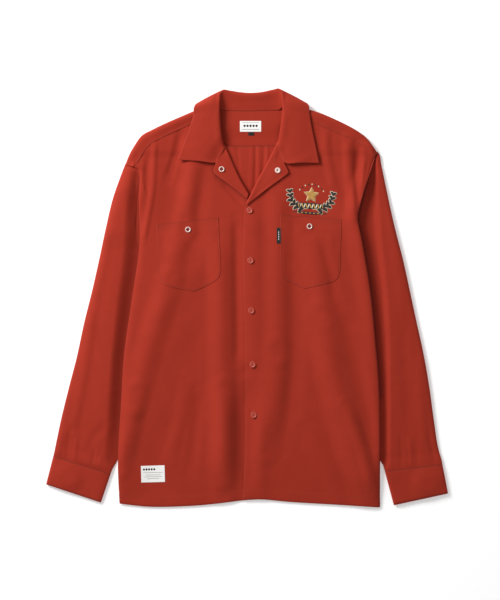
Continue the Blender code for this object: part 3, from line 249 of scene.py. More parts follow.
Fold = namedtuple("Fold", "x0 y0 x1 y1 x2 y2 width height")
FRONT_FOLDS = [         # soft ridges (+) and troughs (-) of the two fronts
    Fold(-188, 245, -199, 77, -226, -147, 16, 4.3),
    Fold(-132, 295, -140, 280, -152, 262, 12, -2.2),
    Fold(-150, 240, -158, 110, -210, -150, 24, 5.2),
    Fold(-91, 248, -140, 60, -228, -303, 26, -3.8),
    Fold(-51, 20, -64, -72, -96, -140, 22, 3.5),
    Fold(-32, 120, -30, -110, -27, -350, 14, -3.8),
    Fold(18, 150, 17, -120, 14, -372, 20, 2.6),
    Fold(50, 180, 47, 40, 47, -95, 14, 2.9),
    Fold(66, 70, 72, -85, 49, -280, 20, -3.2),
    Fold(96, 30, 105, -100, 120, -230, 26, 4.1),
    Fold(142, 95, 160, -60, 243, -350, 24, -4.1),
    Fold(190, 60, 205, -70, 232, -170, 18, 4.3),
    Fold(203, 258, 203, 210, 214, 160, 12, -3.2),
    Fold(170, 270, 172, 200, 178, 120, 20, 3.8),
]
BUTTONS = [(4.5, 163), (6.2, 69.6), (7.7, -23.7), (10.1, -124.4), (12.3, -218.4)]
SNAPS = {
    "snap_lapel_right": (-47.5, 240.0),
    "snap_lapel_left": (57.0, 238.0),
    "snap_pocket_right": (-110.3, 127.5),
    "snap_pocket_left": (116.5, 133.5),
}
Label = namedtuple("Label", "x y width length turn")
LABELS = {
    "neck_label": Label(6.5, 320.5, 40.5, 21, 0.0),
    "size_tab": Label(7.7, 306.5, 12, 7, 0.0),
    "hem_label": Label(-175.7, -328.7, 45, 32, 1.5),
    "side_tab": Label(59.0, 116.0, 8.4, 30.5, 0.0),     # its cloth puffs out past its solid
}
LABEL_INSET = 1.2       # by which a label's cloth is shorter and narrower than its solid


# ---------------------------------------------------------------- lines, grids and smooth surfaces
def spline(points, per_span=8):
    """Points of a smooth line through the given ones."""
    p = np.array([points[0], *points, points[-1]], float)
    t = (np.arange(per_span) / per_span)[:, None]
    line = []
    for a, b, c, d in zip(p, p[1:], p[2:], p[3:]):
        line.append(0.5 * (2 * b + (c - a) * t + (2 * a - 5 * b + 4 * c - d) * t ** 2
                           + (3 * b - a - 3 * c + d) * t ** 3))
    return np.vstack([*line, p[-1:]])


class Line:
    """A plan line read by the share of its length."""

    def __init__(self, points, rounded=True):
        self.knots = np.array(points, float)
        self.rounded = rounded
        self.points = spline(points) if rounded else self.knots
        self.reach = passed(self.points)
        self.length = self.reach[-1]

    def at(self, share):
        goal = np.asarray(share, float) * self.length
        return np.stack([np.interp(goal, self.reach, self.points[:, k]) for k in (0, 1)], axis=-1)

    def share_of_knot(self, number):
        return self.reach[number * (len(self.points) - 1) // (len(self.knots) - 1)] / self.length

    def shifted(self, offset):
        """The same line moved to the left of its travel."""
        ahead = np.vstack([self.knots[1:], self.knots[-1:]])
        behind = np.vstack([self.knots[:1], self.knots[:-1]])
        return Line(self.knots + offset * left_of(unit(ahead - behind)), self.rounded)


def left_of(along):
    """Plan directions a quarter turn to the left of others."""
    return np.stack([-along[:, 1], along[:, 0]], axis=-1)


def smoothstep(low, high, value):
    """A share that eases from 0 at low to 1 at high."""
    t = np.clip((value - low) / (high - low), 0.0, 1.0)
    return t * t * (3.0 - 2.0 * t)


def even_shares(count, marks=()):
    """Even shares from 0 to 1; the nearest one moves to each mark."""
    shares = np.linspace(0, 1, count)
    for mark in marks:
        shares[np.abs(shares - mark).argmin()] = mark
    return shares


def edge_shares(count, width, both=True, first=3.0, second=9.0):
    """A solid's own grid lines: even shares of a width, with two lines close to its rounded edges."""
    head = [0.0, first / width, second / width]
    tail = [1 - second / width, 1 - first / width, 1.0] if both else [1.0]
    between = np.linspace(head[-1], tail[0], count - len(head) - len(tail) + 2)
    return np.concatenate([head[:-1], between, tail[1:]])


def graded(length, step, low=(), high=()):
    """Shares for the fine grid: lines at given distances from either end, and even ones between."""
    near, far = max(low, default=0.0), max(high, default=0.0)
    count = max(2, round((length - near - far) / step) + 1)
    between = np.linspace(near, length - far, count)
    lines = np.concatenate([[0.0], low, between, length - np.array(high), [length]])
    return np.unique(np.round(lines, 4)) / length


def coons(hem, top, start, end, across, along):
    """Plan points of a panel between four edges."""
    u, v = across[None, :, None], along[:, None, None]
    corners = ((1 - u) * ((1 - v) * hem.at(0) + v * top.at(0))
               + u * ((1 - v) * hem.at(1) + v * top.at(1)))
    return ((1 - v) * hem.at(across)[None] + v * top.at(across)[None]
            + (1 - u) * start.at(along)[:, None] + u * end.at(along)[:, None] - corners)


def resample(values, knots, fine):
    """A smooth curve through values at knots, read at fine; along the first axis."""
    knots, fine = np.asarray(knots, float), np.asarray(fine, float)
    slopes = np.gradient(values, knots, axis=0)
    i = np.clip(np.searchsorted(knots, fine, side="right") - 1, 0, len(knots) - 2)
    shape = (-1,) + (1,) * (values.ndim - 1)
    span = (knots[i + 1] - knots[i]).reshape(shape)
    t = (fine - knots[i]).reshape(shape) / span
    return ((2 * t ** 3 - 3 * t ** 2 + 1) * values[i] + (t ** 3 - 2 * t ** 2 + t) * span * slopes[i]
            + (3 * t ** 2 - 2 * t ** 3) * values[i + 1] + (t ** 3 - t ** 2) * span * slopes[i + 1])


def resample_grid(values, coarse, fine):
    """The same over a grid; coarse and fine are (row, column) places."""
    rows = resample(values, coarse[0], fine[0])
    return resample(rows.swapaxes(0, 1), coarse[1], fine[1]).swapaxes(0, 1)


class Corners:
    """A solid's corners, found by their plan place."""

    def __init__(self, node):
        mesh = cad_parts[node].data
        self.points = np.empty(len(mesh.vertices) * 3)
        mesh.vertices.foreach_get("co", self.points)
        self.points = self.points.reshape(-1, 3) / MM
        self.tree = KDTree(len(self.points))
        for i, (x, y, _z) in enumerate(self.points):
            self.tree.insert((x, y, 0.0), i)
        self.tree.balance()

    def middle(self, plan):
        """Level halfway between the lowest and the highest corner at each plan point."""
        level = np.empty(plan.shape[:-1])
        for place in np.ndindex(*level.shape):
            _spot, nearest, _away = self.tree.find((*plan[place], 0.0))
            x, y = self.points[nearest, :2]
            heights = [self.points[i, 2] for _p, i, _d in self.tree.find_range((x, y, 0.0), 0.02)]
            level[place] = (min(heights) + max(heights)) / 2
        return level


def ripple(x, y, size, seed, stretch=1.0):
    """Smooth random relief from -1 to 1, with features of a size in mm, longer along Y by stretch."""
    rng = np.random.default_rng(seed)
    total = np.zeros_like(x)
    for _ in range(14):
        angle, phase = rng.uniform(0, 2 * math.pi, 2)
        pitch = size * rng.uniform(0.8, 1.8)
        total += np.sin(2 * math.pi * (x * math.cos(angle) + y / stretch * math.sin(angle)) / pitch + phase)
    return total / 6.0


def distance_to(line, x, y):
    """Plan distance of each spot to a line of straight steps."""
    best = np.full(x.shape, 1e9)
    for (ax, ay), (bx, by) in zip(line, line[1:]):
        dx, dy = bx - ax, by - ay
        t = np.clip(((x - ax) * dx + (y - ay) * dy) / max(1e-9, dx * dx + dy * dy), 0, 1)
        best = np.minimum(best, np.hypot(x - ax - t * dx, y - ay - t * dy))
    return best


def fold_height(folds, x, y):
    """Height added by a list of folds: each has a soft cross profile and fades out at its ends."""
    total = np.zeros_like(x)
    for f in folds:
        line = spline([(f.x0, f.y0), (f.x1, f.y1), (f.x2, f.y2)], 5)
        ends = np.minimum(*(np.hypot(x - end_x, y - end_y) for end_x, end_y in (line[0], line[-1])))
        profile = np.cos(np.minimum(distance_to(line, x, y) / f.width, 1.0) * math.pi / 2) ** 2
        total += f.height * profile * smoothstep(-f.width, 2 * f.width, ends)
    return total


# ---------------------------------------------------------------- a sheet of cloth as a closed mesh
def unit(vectors):
    return vectors / np.maximum(np.linalg.norm(vectors, axis=-1, keepdims=True), 1e-9)


def passed(points):
    """Distance travelled at each point along the first axis."""
    steps = np.linalg.norm(np.diff(points, axis=0), axis=-1)
    return np.concatenate([np.zeros((1,) + steps.shape[1:]), np.cumsum(steps, axis=0)])


def quads(grid):
    """The four corners of each cell of a grid."""
    return np.stack([grid[:-1, :-1], grid[:-1, 1:], grid[1:, 1:], grid[1:, :-1]], axis=2)


def in_scene(name, data):
    """A new object of the scene, at the origin."""
    obj = bpy.data.objects.new(name, data)
    bpy.context.scene.collection.objects.link(obj)
    return obj


class Cloth:
    """A thin sheet over a grid of middle points, in mm, with its distances from each edge."""

    def __init__(self, mid, thick=TWILL, ring=False, up=(slice(None), slice(None))):
        self.mid = mid
        self.ring = ring
        self.thick = np.broadcast_to(np.asarray(thick, float), mid.shape[:2]).copy()
        self.relief = np.zeros(mid.shape[:2])
        # painted shade: a share from 0 to 1 by which the material darkens the cloth beside seams and edges
        self.painted_shade = np.zeros(mid.shape[:2])
        self.up = up
        self.measure()

    def measure(self):
        self.from_row0 = passed(self.mid)
        self.from_row1 = self.from_row0[-1:] - self.from_row0
        self.from_col0 = passed(self.mid.swapaxes(0, 1)).T
        self.from_col1 = self.from_col0[:, -1:] - self.from_col0
        self.girth = self.from_col0[:, -1] + np.linalg.norm(self.mid[:, 0] - self.mid[:, -1], axis=-1)

    def normals(self):
        """Directions at right angles to the sheet, and whether they point to its lower or inner side."""
        if self.ring:
            wrapped = np.concatenate([self.mid[:, -1:], self.mid, self.mid[:, :1]], axis=1)
            across = wrapped[:, 2:] - wrapped[:, :-2]
        else:
            across = np.gradient(self.mid, axis=1)
        normal = unit(np.cross(across, np.gradient(self.mid, axis=0)))
        if self.ring:
            outward = np.sum(normal * (self.mid - self.mid.mean(axis=1, keepdims=True)), axis=-1)
            return normal, np.median(np.sign(outward)) < 0
        return normal, normal[self.up][..., 2].mean() < 0

    def sides(self):
        """The upper or outer side, the side behind it, the directions between them, and their flip."""
        normal, flipped = self.normals()
        normal = -normal if flipped else normal
        lift = (self.thick / 2)[..., None]
        return self.mid + normal * (lift + self.relief[..., None]), self.mid - normal * lift, normal, flipped

    def groove(self, distance, inset, mask=None, depth=GROOVE_DEPTH, width=GROOVE_WIDTH):
        """Pull a narrow dimple into the cloth at a distance from an edge, and paint a little shade into it.
        """
        dimple = np.exp(-((distance - inset) / width) ** 2) * (1.0 if mask is None else mask)
        self.relief -= depth * dimple
        self.painted_shade = np.maximum(self.painted_shade, 0.15 * dimple)

    def shade_edge(self, distance, width=1.3, share=0.8):
        """Painted shade beside an edge, where a seam's ditch would hold shade."""
        self.painted_shade = np.maximum(self.painted_shade, share * np.exp(-(distance / width) ** 2))

    def line_at(self, edge, inset, trims=(0.0, 0.0)):
        """A row of points on the upper side, at a distance from an edge; trims cut its two ends."""
        upper, _lower, normal, _flipped = self.sides()
        along_rows = edge in ("row0", "row1")
        reach = {"row0": self.from_row0, "row1": self.from_row1,
                 "col0": self.from_col0, "col1": self.from_col1}[edge]
        if along_rows:
            reach, upper, normal = reach.T, upper.swapaxes(0, 1), normal.swapaxes(0, 1)
        if edge.endswith("1"):
            reach, upper, normal = reach[:, ::-1], upper[:, ::-1], normal[:, ::-1]
        points, ups = [], []
        for distances, row, up in zip(reach, upper, normal):
            if distances[-1] > inset:
                points.append([np.interp(inset, distances, row[:, k]) for k in range(3)])
                ups.append([np.interp(inset, distances, up[:, k]) for k in range(3)])
        points, ups = np.array(points), np.array(ups)
        if self.ring and along_rows:
            points, ups = np.vstack([points, points[:1]]), np.vstack([ups, ups[:1]])
        along = passed(points)
        kept = (along >= trims[0]) & (along <= along[-1] - trims[1])
        return points[kept], ups[kept]

    def turn_hem(self):
        """Thicken the cloth over its hem, along the first row, where it is turned in twice."""
        self.thick += (HEM_CLOTH - TWILL) * (1 - smoothstep(HEM_WIDTH - 0.6, HEM_WIDTH + 0.6, self.from_row0))


def mesh_object(name, verts, faces, material, uvs, attributes=None):
    """A smooth object from points and UVs in mm, a UV for each face corner; attributes are for points."""
    mesh = bpy.data.meshes.new(name)
    mesh.from_pydata((np.asarray(verts) * MM).tolist(), [], [list(map(int, face)) for face in faces])
    layer = mesh.uv_layers.new(name="cloth")
    layer.data.foreach_set("uv", np.asarray(uvs, float).ravel() * MM)
    for key, values in (attributes or {}).items():
        attribute = mesh.attributes.new(key, "FLOAT", "POINT")
        attribute.data.foreach_set("value", np.asarray(values, np.float32).ravel())
    mesh.materials.append(material)
    mesh.shade_smooth()
    return in_scene(name, mesh)


def face_outwards(mesh, merge=0.0):
    """Join a closed mesh's doubles that lie within a distance in mm, and turn its faces outwards."""
    work = bmesh.new()
    work.from_mesh(mesh)
    if merge:
        bmesh.ops.remove_doubles(work, verts=work.verts, dist=merge * MM)
    bmesh.ops.recalc_face_normals(work, faces=work.faces)
    work.to_mesh(mesh)
    work.free()
    mesh.shade_smooth()


def rim_loops(rows, cols, ring):
    """Grid places along the open edges of a sheet, or along the two ends of a tube."""
    if ring:
        return [[(0, c) for c in range(cols + 1)], [(rows - 1, c) for c in range(cols, -1, -1)]]
    there = [(0, c) for c in range(cols)] + [(r, cols - 1) for r in range(1, rows)]
    back_again = [(rows - 1, c) for c in range(cols - 2, -1, -1)] + [(r, 0) for r in range(rows - 2, -1, -1)]
    return [there + back_again]


PRESSED_WIDTH = 1.6     # over which a pressed edge fades into the cloth, mm


def cloth_object(name, cloth, material):
    """Closed mesh of a sheet: two sides and a rounded rim. The UV map holds real lengths."""
    upper, lower, _normal, flipped = cloth.sides()
    rows, cols = cloth.mid.shape[:2]
    count = rows * cols
    index = np.arange(count).reshape(rows, cols)
    from_middle = cloth.from_col0 - cloth.from_col0.mean(axis=1, keepdims=True)
    uv = np.stack([from_middle, cloth.from_row0], axis=-1)
    if cloth.ring:
        index = np.concatenate([index, index[:, :1]], axis=1)
        last = uv[:, :1].copy()
        last[..., 0] = uv[:, 0, 0, None] + cloth.girth[:, None]
        uv = np.concatenate([uv, last], axis=1)
    top_faces = quads(index).reshape(-1, 4)
    top_uvs = quads(uv).reshape(-1, 4, 2)
    faces = [top_faces, top_faces[:, ::-1] + count]
    uvs = [top_uvs, top_uvs[:, ::-1]]

    loops = rim_loops(rows, cols, cloth.ring)
    rim_points, rim_number, rim_painted_shade = [], {}, []
    for loop in loops:
        for r, c in loop:
            place = (r, c % cols)
            if place in rim_number:
                continue
            outward = np.zeros(3)
            for at_edge, inner in ((r == 0, (1, place[1])), (r == rows - 1, (rows - 2, place[1])),
                                   (not cloth.ring and c == 0, (r, 1)),
                                   (not cloth.ring and c == cols - 1, (r, cols - 2))):
                if at_edge:
                    outward += unit(cloth.mid[place] - cloth.mid[inner])
            rim_number[place] = 2 * count + len(rim_points)
            rim_points.append(cloth.mid[place] + unit(outward) * cloth.thick[place] * 0.5)
            rim_painted_shade.append(cloth.painted_shade[place])
    rim_faces, rim_uvs = [], []
    for loop in loops:
        for (r0, c0), (r1, c1) in zip(loop, loop[1:]):
            i, j = index[r0, c0], index[r1, c1]
            m, n = rim_number[(r0, c0 % cols)], rim_number[(r1, c1 % cols)]
            a, b = uv[r0, c0], uv[r1, c1]
            rim_faces += [(j, i, m, n), (n, m, i + count, j + count)]
            rim_uvs += [(b, a, a, b), (b, a, a, b)]
    faces = np.vstack([*faces, np.array(rim_faces)])
    uvs = np.concatenate([*uvs, np.array(rim_uvs)])
    if flipped:
        faces, uvs = faces[:, ::-1], uvs[:, ::-1]
    edge = np.minimum(cloth.from_row0, cloth.from_row1)
    if not cloth.ring:
        edge = np.minimum(edge, np.minimum(cloth.from_col0, cloth.from_col1))
    edge = np.exp(-edge / PRESSED_WIDTH).ravel()
    verts = np.vstack([upper.reshape(-1, 3), lower.reshape(-1, 3), np.array(rim_points)])
    pressed = np.concatenate([edge, edge, np.ones(len(rim_points))])
    # the painted shade of each point, by which the material darkens the cloth
    painted_shade = np.concatenate([cloth.painted_shade.ravel(), cloth.painted_shade.ravel(), rim_painted_shade])
    return mesh_object(name, verts, faces, material, uvs, {"pressed": pressed, "painted_shade": painted_shade})


# ---------------------------------------------------------------- heights of the laid cloth, mm
BODY_EDGE = {side: Line(SIDE_SEAM[side] + ARMHOLE[side][1:]) for side in SIDES}
ARMHOLE_LINE = {side: Line(ARMHOLE[side]) for side in SIDES}


def section_ends(section, side):
    """Outer and inner fold points of a sleeve section."""
    angle = math.radians(section.slant)
    return ((section.outer_x, section.outer_y),
            (section.outer_x - side * section.width * math.cos(angle),
             section.outer_y - section.width * math.sin(angle)))


def footprint(side):
    """Outline of the part of a sleeve that can lie under the body."""
    outer, inner = zip(*(section_ends(s, side) for s in SLEEVE[side]))
    cuff = CUFF[side]
    return [ARMHOLE[side][0], ARMHOLE_FOOT[side], *inner, cuff.seam_inner, cuff.seam_outer, *reversed(outer)]


def inside(polygon, x, y):
    """Whether each spot lies inside a plan outline."""
    hit = np.zeros(x.shape, bool)
    for (x0, y0), (x1, y1) in zip(polygon, polygon[1:] + polygon[:1]):
        if y0 != y1:
            hit ^= ((y0 > y) != (y1 > y)) & (x < x0 + (x1 - x0) * (y - y0) / (y1 - y0))
    return hit


def sleeve_lift(x, y, fade=20.0):
    """How far the body is lifted off the floor by the sleeve that lies under it; it fades out beside it."""
    lift = np.zeros_like(x)
    full = SLEEVE_FLAT + GAP
    for side in SIDES:
        outline = footprint(side)
        from_sleeve = distance_to(outline[:len(SLEEVE[side]) + 3], x, y)
        from_armhole = distance_to(ARMHOLE_LINE[side].points, x, y)
        over = np.maximum(full * (1 - smoothstep(6, 6 + fade, from_sleeve)),
                          (CLOTH + GAP) * (1 - smoothstep(HIDDEN_LAP + 2, HIDDEN_LAP + fade, from_armhole)))
        over = np.where(inside(outline, x, y), full, over)
        lift = np.where((x > 0) == (side == LEFT), over, lift)
    return lift


def body_edge_distance(x, y):
    """Plan distance inwards from the body's side seam and armhole."""
    at = {side: np.interp(y, BODY_EDGE[side].points[:, 1], BODY_EDGE[side].points[:, 0])
          for side in SIDES}
    return np.where(x > 0, at[LEFT] - x, x - at[RIGHT])


def edge_height(away, depth):
    """Share of a cloth's height at a plan distance from the edge where it rounds down."""
    return np.sqrt(np.maximum(0.0, 1 - (1 - np.clip(away / depth, 0, 1)) ** 2))


def front_height(x, y, folds=FRONT_FOLDS, fade=20.0):
    """Underside of a front, from the floor; fade is how far beside a sleeve its lift is still felt."""
    roll = edge_height(body_edge_distance(x, y), EDGE_ROLL)
    hem = 0.45 + 0.55 * smoothstep(-392, -300, y)           # less air near the hem
    seam = (CLOTH + GAP) * smoothstep(262, 276, y)          # and a step up onto the yoke's back
    loft = roll * np.maximum(0.0, BODY_LOFT * hem + fold_height(folds, x, y) * (0.4 + 0.6 * hem))
    return sleeve_lift(x, y, fade) + CLOTH + GAP + seam + loft


class Ground:
    """Upper sides of what has been laid so far, for what lies on it."""
    ABOVE = 100.0           # a level above everything, mm

    def __init__(self):
        self.trees = []

    def lay(self, cloth, side=0):
        """Lay a cloth down: its outer side, or with side=1 the inner one of a piece folded face down."""
        upper = cloth.sides()[side]
        rows, cols = upper.shape[:2]
        faces = quads(np.arange(rows * cols).reshape(rows, cols)).reshape(-1, 4)
        self.trees.append(BVHTree.FromPolygons(upper.reshape(-1, 3).tolist(), faces.tolist()))

    def height(self, x, y, missing=0.0):
        """Highest level over each spot, or the missing value where nothing lies."""
        x, y = np.broadcast_arrays(np.asarray(x, float), np.asarray(y, float))
        levels = np.full(x.shape, missing)
        for place in np.ndindex(*x.shape):
            for tree in self.trees:
                hit = tree.ray_cast(Vector((x[place], y[place], self.ABOVE)), Vector((0, 0, -1)))[0]
                if hit is not None and hit.z > levels[place]:
                    levels[place] = hit.z
        return levels


def with_height(plan, level):
    """Points in space from their plan and their level."""
    return np.concatenate([plan, level[..., None]], axis=-1)


# ---------------------------------------------------------------- materials
def srgb(code):
    """Linear colour of an sRGB hex value."""
    parts = [int(code[i:i + 2], 16) / 255 for i in (1, 3, 5)]
    return (*[p / 12.92 if p <= 0.04045 else ((p + 0.055) / 1.055) ** 2.4 for p in parts], 1.0)


def set_inputs(tree, node, inputs):
    """Give each named input of a node its value, or another node's output."""
    for key, value in inputs.items():
        if isinstance(value, bpy.types.NodeSocket):
            tree.links.new(value, node.inputs[key])
        else:
            node.inputs[key].default_value = value


def add(tree, kind, inputs=None, **settings):
    """Add a node with its settings and links."""
    made = tree.nodes.new(kind)
    for key, value in settings.items():
        setattr(made, key, value)
    set_inputs(tree, made, inputs or {})
    return made


def wave_scale(pitch, diagonal=False):
    """Scale of a Wave texture whose bands lie a pitch in mm apart, on coordinates in metres."""
    return 2 * math.pi / ((10 if diagonal else 20) * pitch * MM)


def new_material(name, inputs):
    """A material with the named inputs of its shader set; returns it with its tree and shader."""
    mat = bpy.data.materials.new(name)
    mat.use_nodes = True
    shader = mat.node_tree.nodes["Principled BSDF"]
    set_inputs(mat.node_tree, shader, inputs)
    return mat, mat.node_tree, shader


TWILL_RIB = 1.4         # from rib to rib; 0.5 mm on real twill, which is too fine to show
SILK_STRAND = 0.9       # from strand to strand; 0.4 mm in real embroidery


def cotton_twill(name, low, high, edge, painted_shade):
    """Poly-cotton work twill, piece dyed and pressed: matt and even, with soft mottling, a little paler on
    pressed edges, and darker where shade is painted beside seams and edges."""
    mat, tree, shader = new_material(name, {
        "Roughness": 0.84, "Specular IOR Level": 0.22, "Sheen Weight": 0.06, "Sheen Roughness": 0.5,
        "Sheen Tint": srgb("#ff9a80")})
    cloth = add(tree, "ShaderNodeUVMap", uv_map="cloth").outputs["UV"]
    mottle = add(tree, "ShaderNodeTexNoise", {"Vector": cloth, "Scale": 1 / (38 * MM), "Detail": 5.0})
    pressed = add(tree, "ShaderNodeAttribute", attribute_name="pressed")
    wear = add(tree, "ShaderNodeMath", {0: pressed.outputs["Fac"], 1: 0.15}, operation="MULTIPLY")
    # painted shade: mixes the twill towards its last colour, the painted shade colour
    seam = add(tree, "ShaderNodeAttribute", attribute_name="painted_shade")
    tone = srgb(low)
    for share, over in ((mottle.outputs["Fac"], high), (wear.outputs[0], edge), (seam.outputs["Fac"], painted_shade)):
        tone = add(tree, "ShaderNodeMix", {0: share, 6: tone, 7: srgb(over)}, data_type="RGBA").outputs[2]
    rib = add(tree, "ShaderNodeTexWave", {"Vector": cloth, "Scale": wave_scale(TWILL_RIB, True),
                                          "Distortion": 0.6}, bands_direction="DIAGONAL")
    slub = add(tree, "ShaderNodeTexNoise", {"Vector": cloth, "Scale": 1 / (1.1 * MM), "Detail": 2.0})
    relief = add(tree, "ShaderNodeMath", {0: rib.outputs["Fac"], 1: slub.outputs["Fac"]}, operation="ADD")
    bump = add(tree, "ShaderNodeBump", {"Height": relief.outputs[0], "Strength": 0.35, "Distance": 0.08 * MM})
    set_inputs(tree, shader, {"Base Color": tone, "Normal": bump.outputs["Normal"]})
    return mat


def side_by_side(name, base, dark, pitch, on_uv, wander, depth, strength, inputs):
    """Threads that lie side by side, a pitch apart and standing out by a depth, in mm."""
    mat, tree, shader = new_material(name, inputs)
    if on_uv:
        place = add(tree, "ShaderNodeUVMap", uv_map="cloth").outputs["UV"]
    else:
        place = add(tree, "ShaderNodeTexCoord").outputs["Object"]
    rib = add(tree, "ShaderNodeTexWave", {"Vector": place, "Scale": wave_scale(pitch), "Distortion": wander},
              bands_direction="Y").outputs["Fac"]
    # the grooves between the threads are drawn darker: painted shade
    tone = add(tree, "ShaderNodeMix", {0: rib, 6: srgb(dark), 7: srgb(base)}, data_type="RGBA")
    bump = add(tree, "ShaderNodeBump", {"Height": rib, "Strength": strength, "Distance": depth * MM})
    set_inputs(tree, shader, {"Base Color": tone.outputs[2], "Normal": bump.outputs["Normal"]})
    return mat


def woven_label(name, base, dark, pitch):
    """Polyester satin label: smooth, faintly glossy, with fine ribs across its length."""
    return side_by_side(name, base, dark, pitch, False, 0.0, 0.1, 0.3,
                        {"Roughness": 0.55, "Sheen Weight": 0.1})


def rayon_thread(name, base, dark):
    """Rayon embroidery thread in satin stitch: glossy along strands that lie side by side over the motif."""
    return side_by_side(name, base, dark, SILK_STRAND, True, 0.3, 0.15, 0.5,
                        {"Roughness": 0.38, "Sheen Weight": 0.2})


def clouded(name, low, high, cloud, detail, inputs):
    """A hard finish of slightly uneven colour, with clouds of a size in mm."""
    mat, tree, shader = new_material(name, inputs)
    place = add(tree, "ShaderNodeTexCoord").outputs["Object"]
    noise = add(tree, "ShaderNodeTexNoise",
                {"Vector": place, "Scale": 1 / (cloud * MM), "Detail": detail}).outputs["Fac"]
    tone = add(tree, "ShaderNodeMix", {0: noise, 6: srgb(low), 7: srgb(high)}, data_type="RGBA")
    set_inputs(tree, shader, {"Base Color": tone.outputs[2]})
    return mat


def moulded_resin(name, low, high):
    """Dyed polyester resin button, turned and tumbled: clouded colour under a soft gloss."""
    return clouded(name, low, high, 5, 3.0, {"Roughness": 0.38, "Specular IOR Level": 0.35,
                                             "Coat Weight": 0.08, "Coat Roughness": 0.25})


def enamelled_brass(name, low, high):
    """Stamped brass press stud under baked enamel: hard, smooth and glossy, a little uneven."""
    return clouded(name, low, high, 3, 2.0, {"Roughness": 0.25, "Coat Weight": 0.5, "Coat Roughness": 0.1})


def sewing_thread(name, base):
    """Core-spun polyester thread dyed to match, with a slight gloss."""
    return new_material(name, {"Base Color": srgb(base), "Roughness": 0.6, "Sheen Weight": 0.2})[0]


# Each twill's last colour is its painted shade. The second twill is a darker copy of the first, which paints
# shade where it is used.
TWILL_RED = cotton_twill("red_cotton_twill", "#9b2a18", "#a72f1d", "#b8503c", "#5e1810")
TWILL_PAINTED_SHADE = cotton_twill("painted_shade_red_cotton_twill", "#6d2018", "#7a251b", "#8c3426", "#3c100b")
RED_THREAD = sewing_thread("red_core_spun_thread", "#a23022")
BUTTON_RED = moulded_resin("red_polyester_resin", "#b04335", "#c25443")
# the press studs' white enamel is tinted pink: a painted reflection of the red cloth
STUD_WHITE = enamelled_brass("white_enamelled_brass", "#dfbdb3", "#f3e0d9")
LABEL_WHITE = woven_label("white_polyester_satin", "#ffffff", "#f5f2ea", 0.9)
LABEL_GREY = woven_label("grey_polyester_satin", "#8d8a86", "#77746f", 0.9)
TAPE_BLACK = woven_label("black_polyester_tape", "#161314", "#0c0a0b", 0.8)
SILK_BLACK = rayon_thread("black_rayon_thread", "#2a211f", "#120d0c")
SILK_CREAM = rayon_thread("cream_rayon_thread", "#efe5cb", "#c9bb98")
SILK_GOLD = rayon_thread("gold_rayon_thread", "#d6a656", "#a8762e")


# ---------------------------------------------------------------- topstitching
def stitch_tree():
    """Rows of short stitches along seam lines: capsules set on evenly spaced points of each line."""
    tree = bpy.data.node_groups.new("topstitch", "GeometryNodeTree")
    sockets = {name: tree.interface.new_socket(name, in_out="INPUT", socket_type="NodeSocket" + kind)
               for name, kind in (("Seams", "Geometry"), ("Pitch", "Float"), ("Length", "Float"),
                                  ("Thread", "Float"), ("Seed", "Int"), ("Material", "Material"))}
    tree.interface.new_socket("Stitches", in_out="OUTPUT", socket_type="NodeSocketGeometry")
    given = add(tree, "NodeGroupInput").outputs
    lines = add(tree, "GeometryNodeMeshToCurve", {"Mesh": given["Seams"]})
    points = add(tree, "GeometryNodeResampleCurve",
                 {"Curve": lines.outputs["Curve"], "Length": given["Pitch"]}, mode="LENGTH")
    up = add(tree, "GeometryNodeInputNamedAttribute", {"Name": "up"}, data_type="FLOAT_VECTOR")
    tangent = add(tree, "GeometryNodeInputTangent")
    ahead = add(tree, "FunctionNodeAlignRotationToVector", {"Vector": tangent.outputs["Tangent"]}, axis="X")
    upright = add(tree, "FunctionNodeAlignRotationToVector",
                  {"Rotation": ahead.outputs["Rotation"], "Vector": up.outputs["Attribute"]},
                  axis="Z", pivot_axis="X")
    shortest, longest = STITCH_UNEVEN
    uneven = add(tree, "FunctionNodeRandomValue", {2: shortest, 3: longest, "Seed": given["Seed"]},
                 data_type="FLOAT")
    size = add(tree, "ShaderNodeCombineXYZ",
               {"X": given["Length"], "Y": given["Thread"], "Z": given["Thread"]})
    size = add(tree, "ShaderNodeVectorMath", {0: size.outputs["Vector"], "Scale": uneven.outputs[1]},
               operation="SCALE")
    capsule = add(tree, "GeometryNodeMeshUVSphere", {"Segments": 6, "Rings": 5, "Radius": 0.5})
    smooth = add(tree, "GeometryNodeSetShadeSmooth", {"Geometry": capsule.outputs["Mesh"]})
    placed = add(tree, "GeometryNodeInstanceOnPoints",
                 {"Points": points.outputs["Curve"], "Instance": smooth.outputs["Geometry"],
                  "Rotation": upright.outputs["Rotation"], "Scale": size.outputs["Vector"]})
    real = add(tree, "GeometryNodeRealizeInstances", {"Geometry": placed.outputs["Instances"]})
    dyed = add(tree, "GeometryNodeSetMaterial",
               {"Geometry": real.outputs["Geometry"], "Material": given["Material"]})
    add(tree, "NodeGroupOutput", {"Stitches": dyed.outputs["Geometry"]})
    return tree, {name: item.identifier for name, item in sockets.items()}


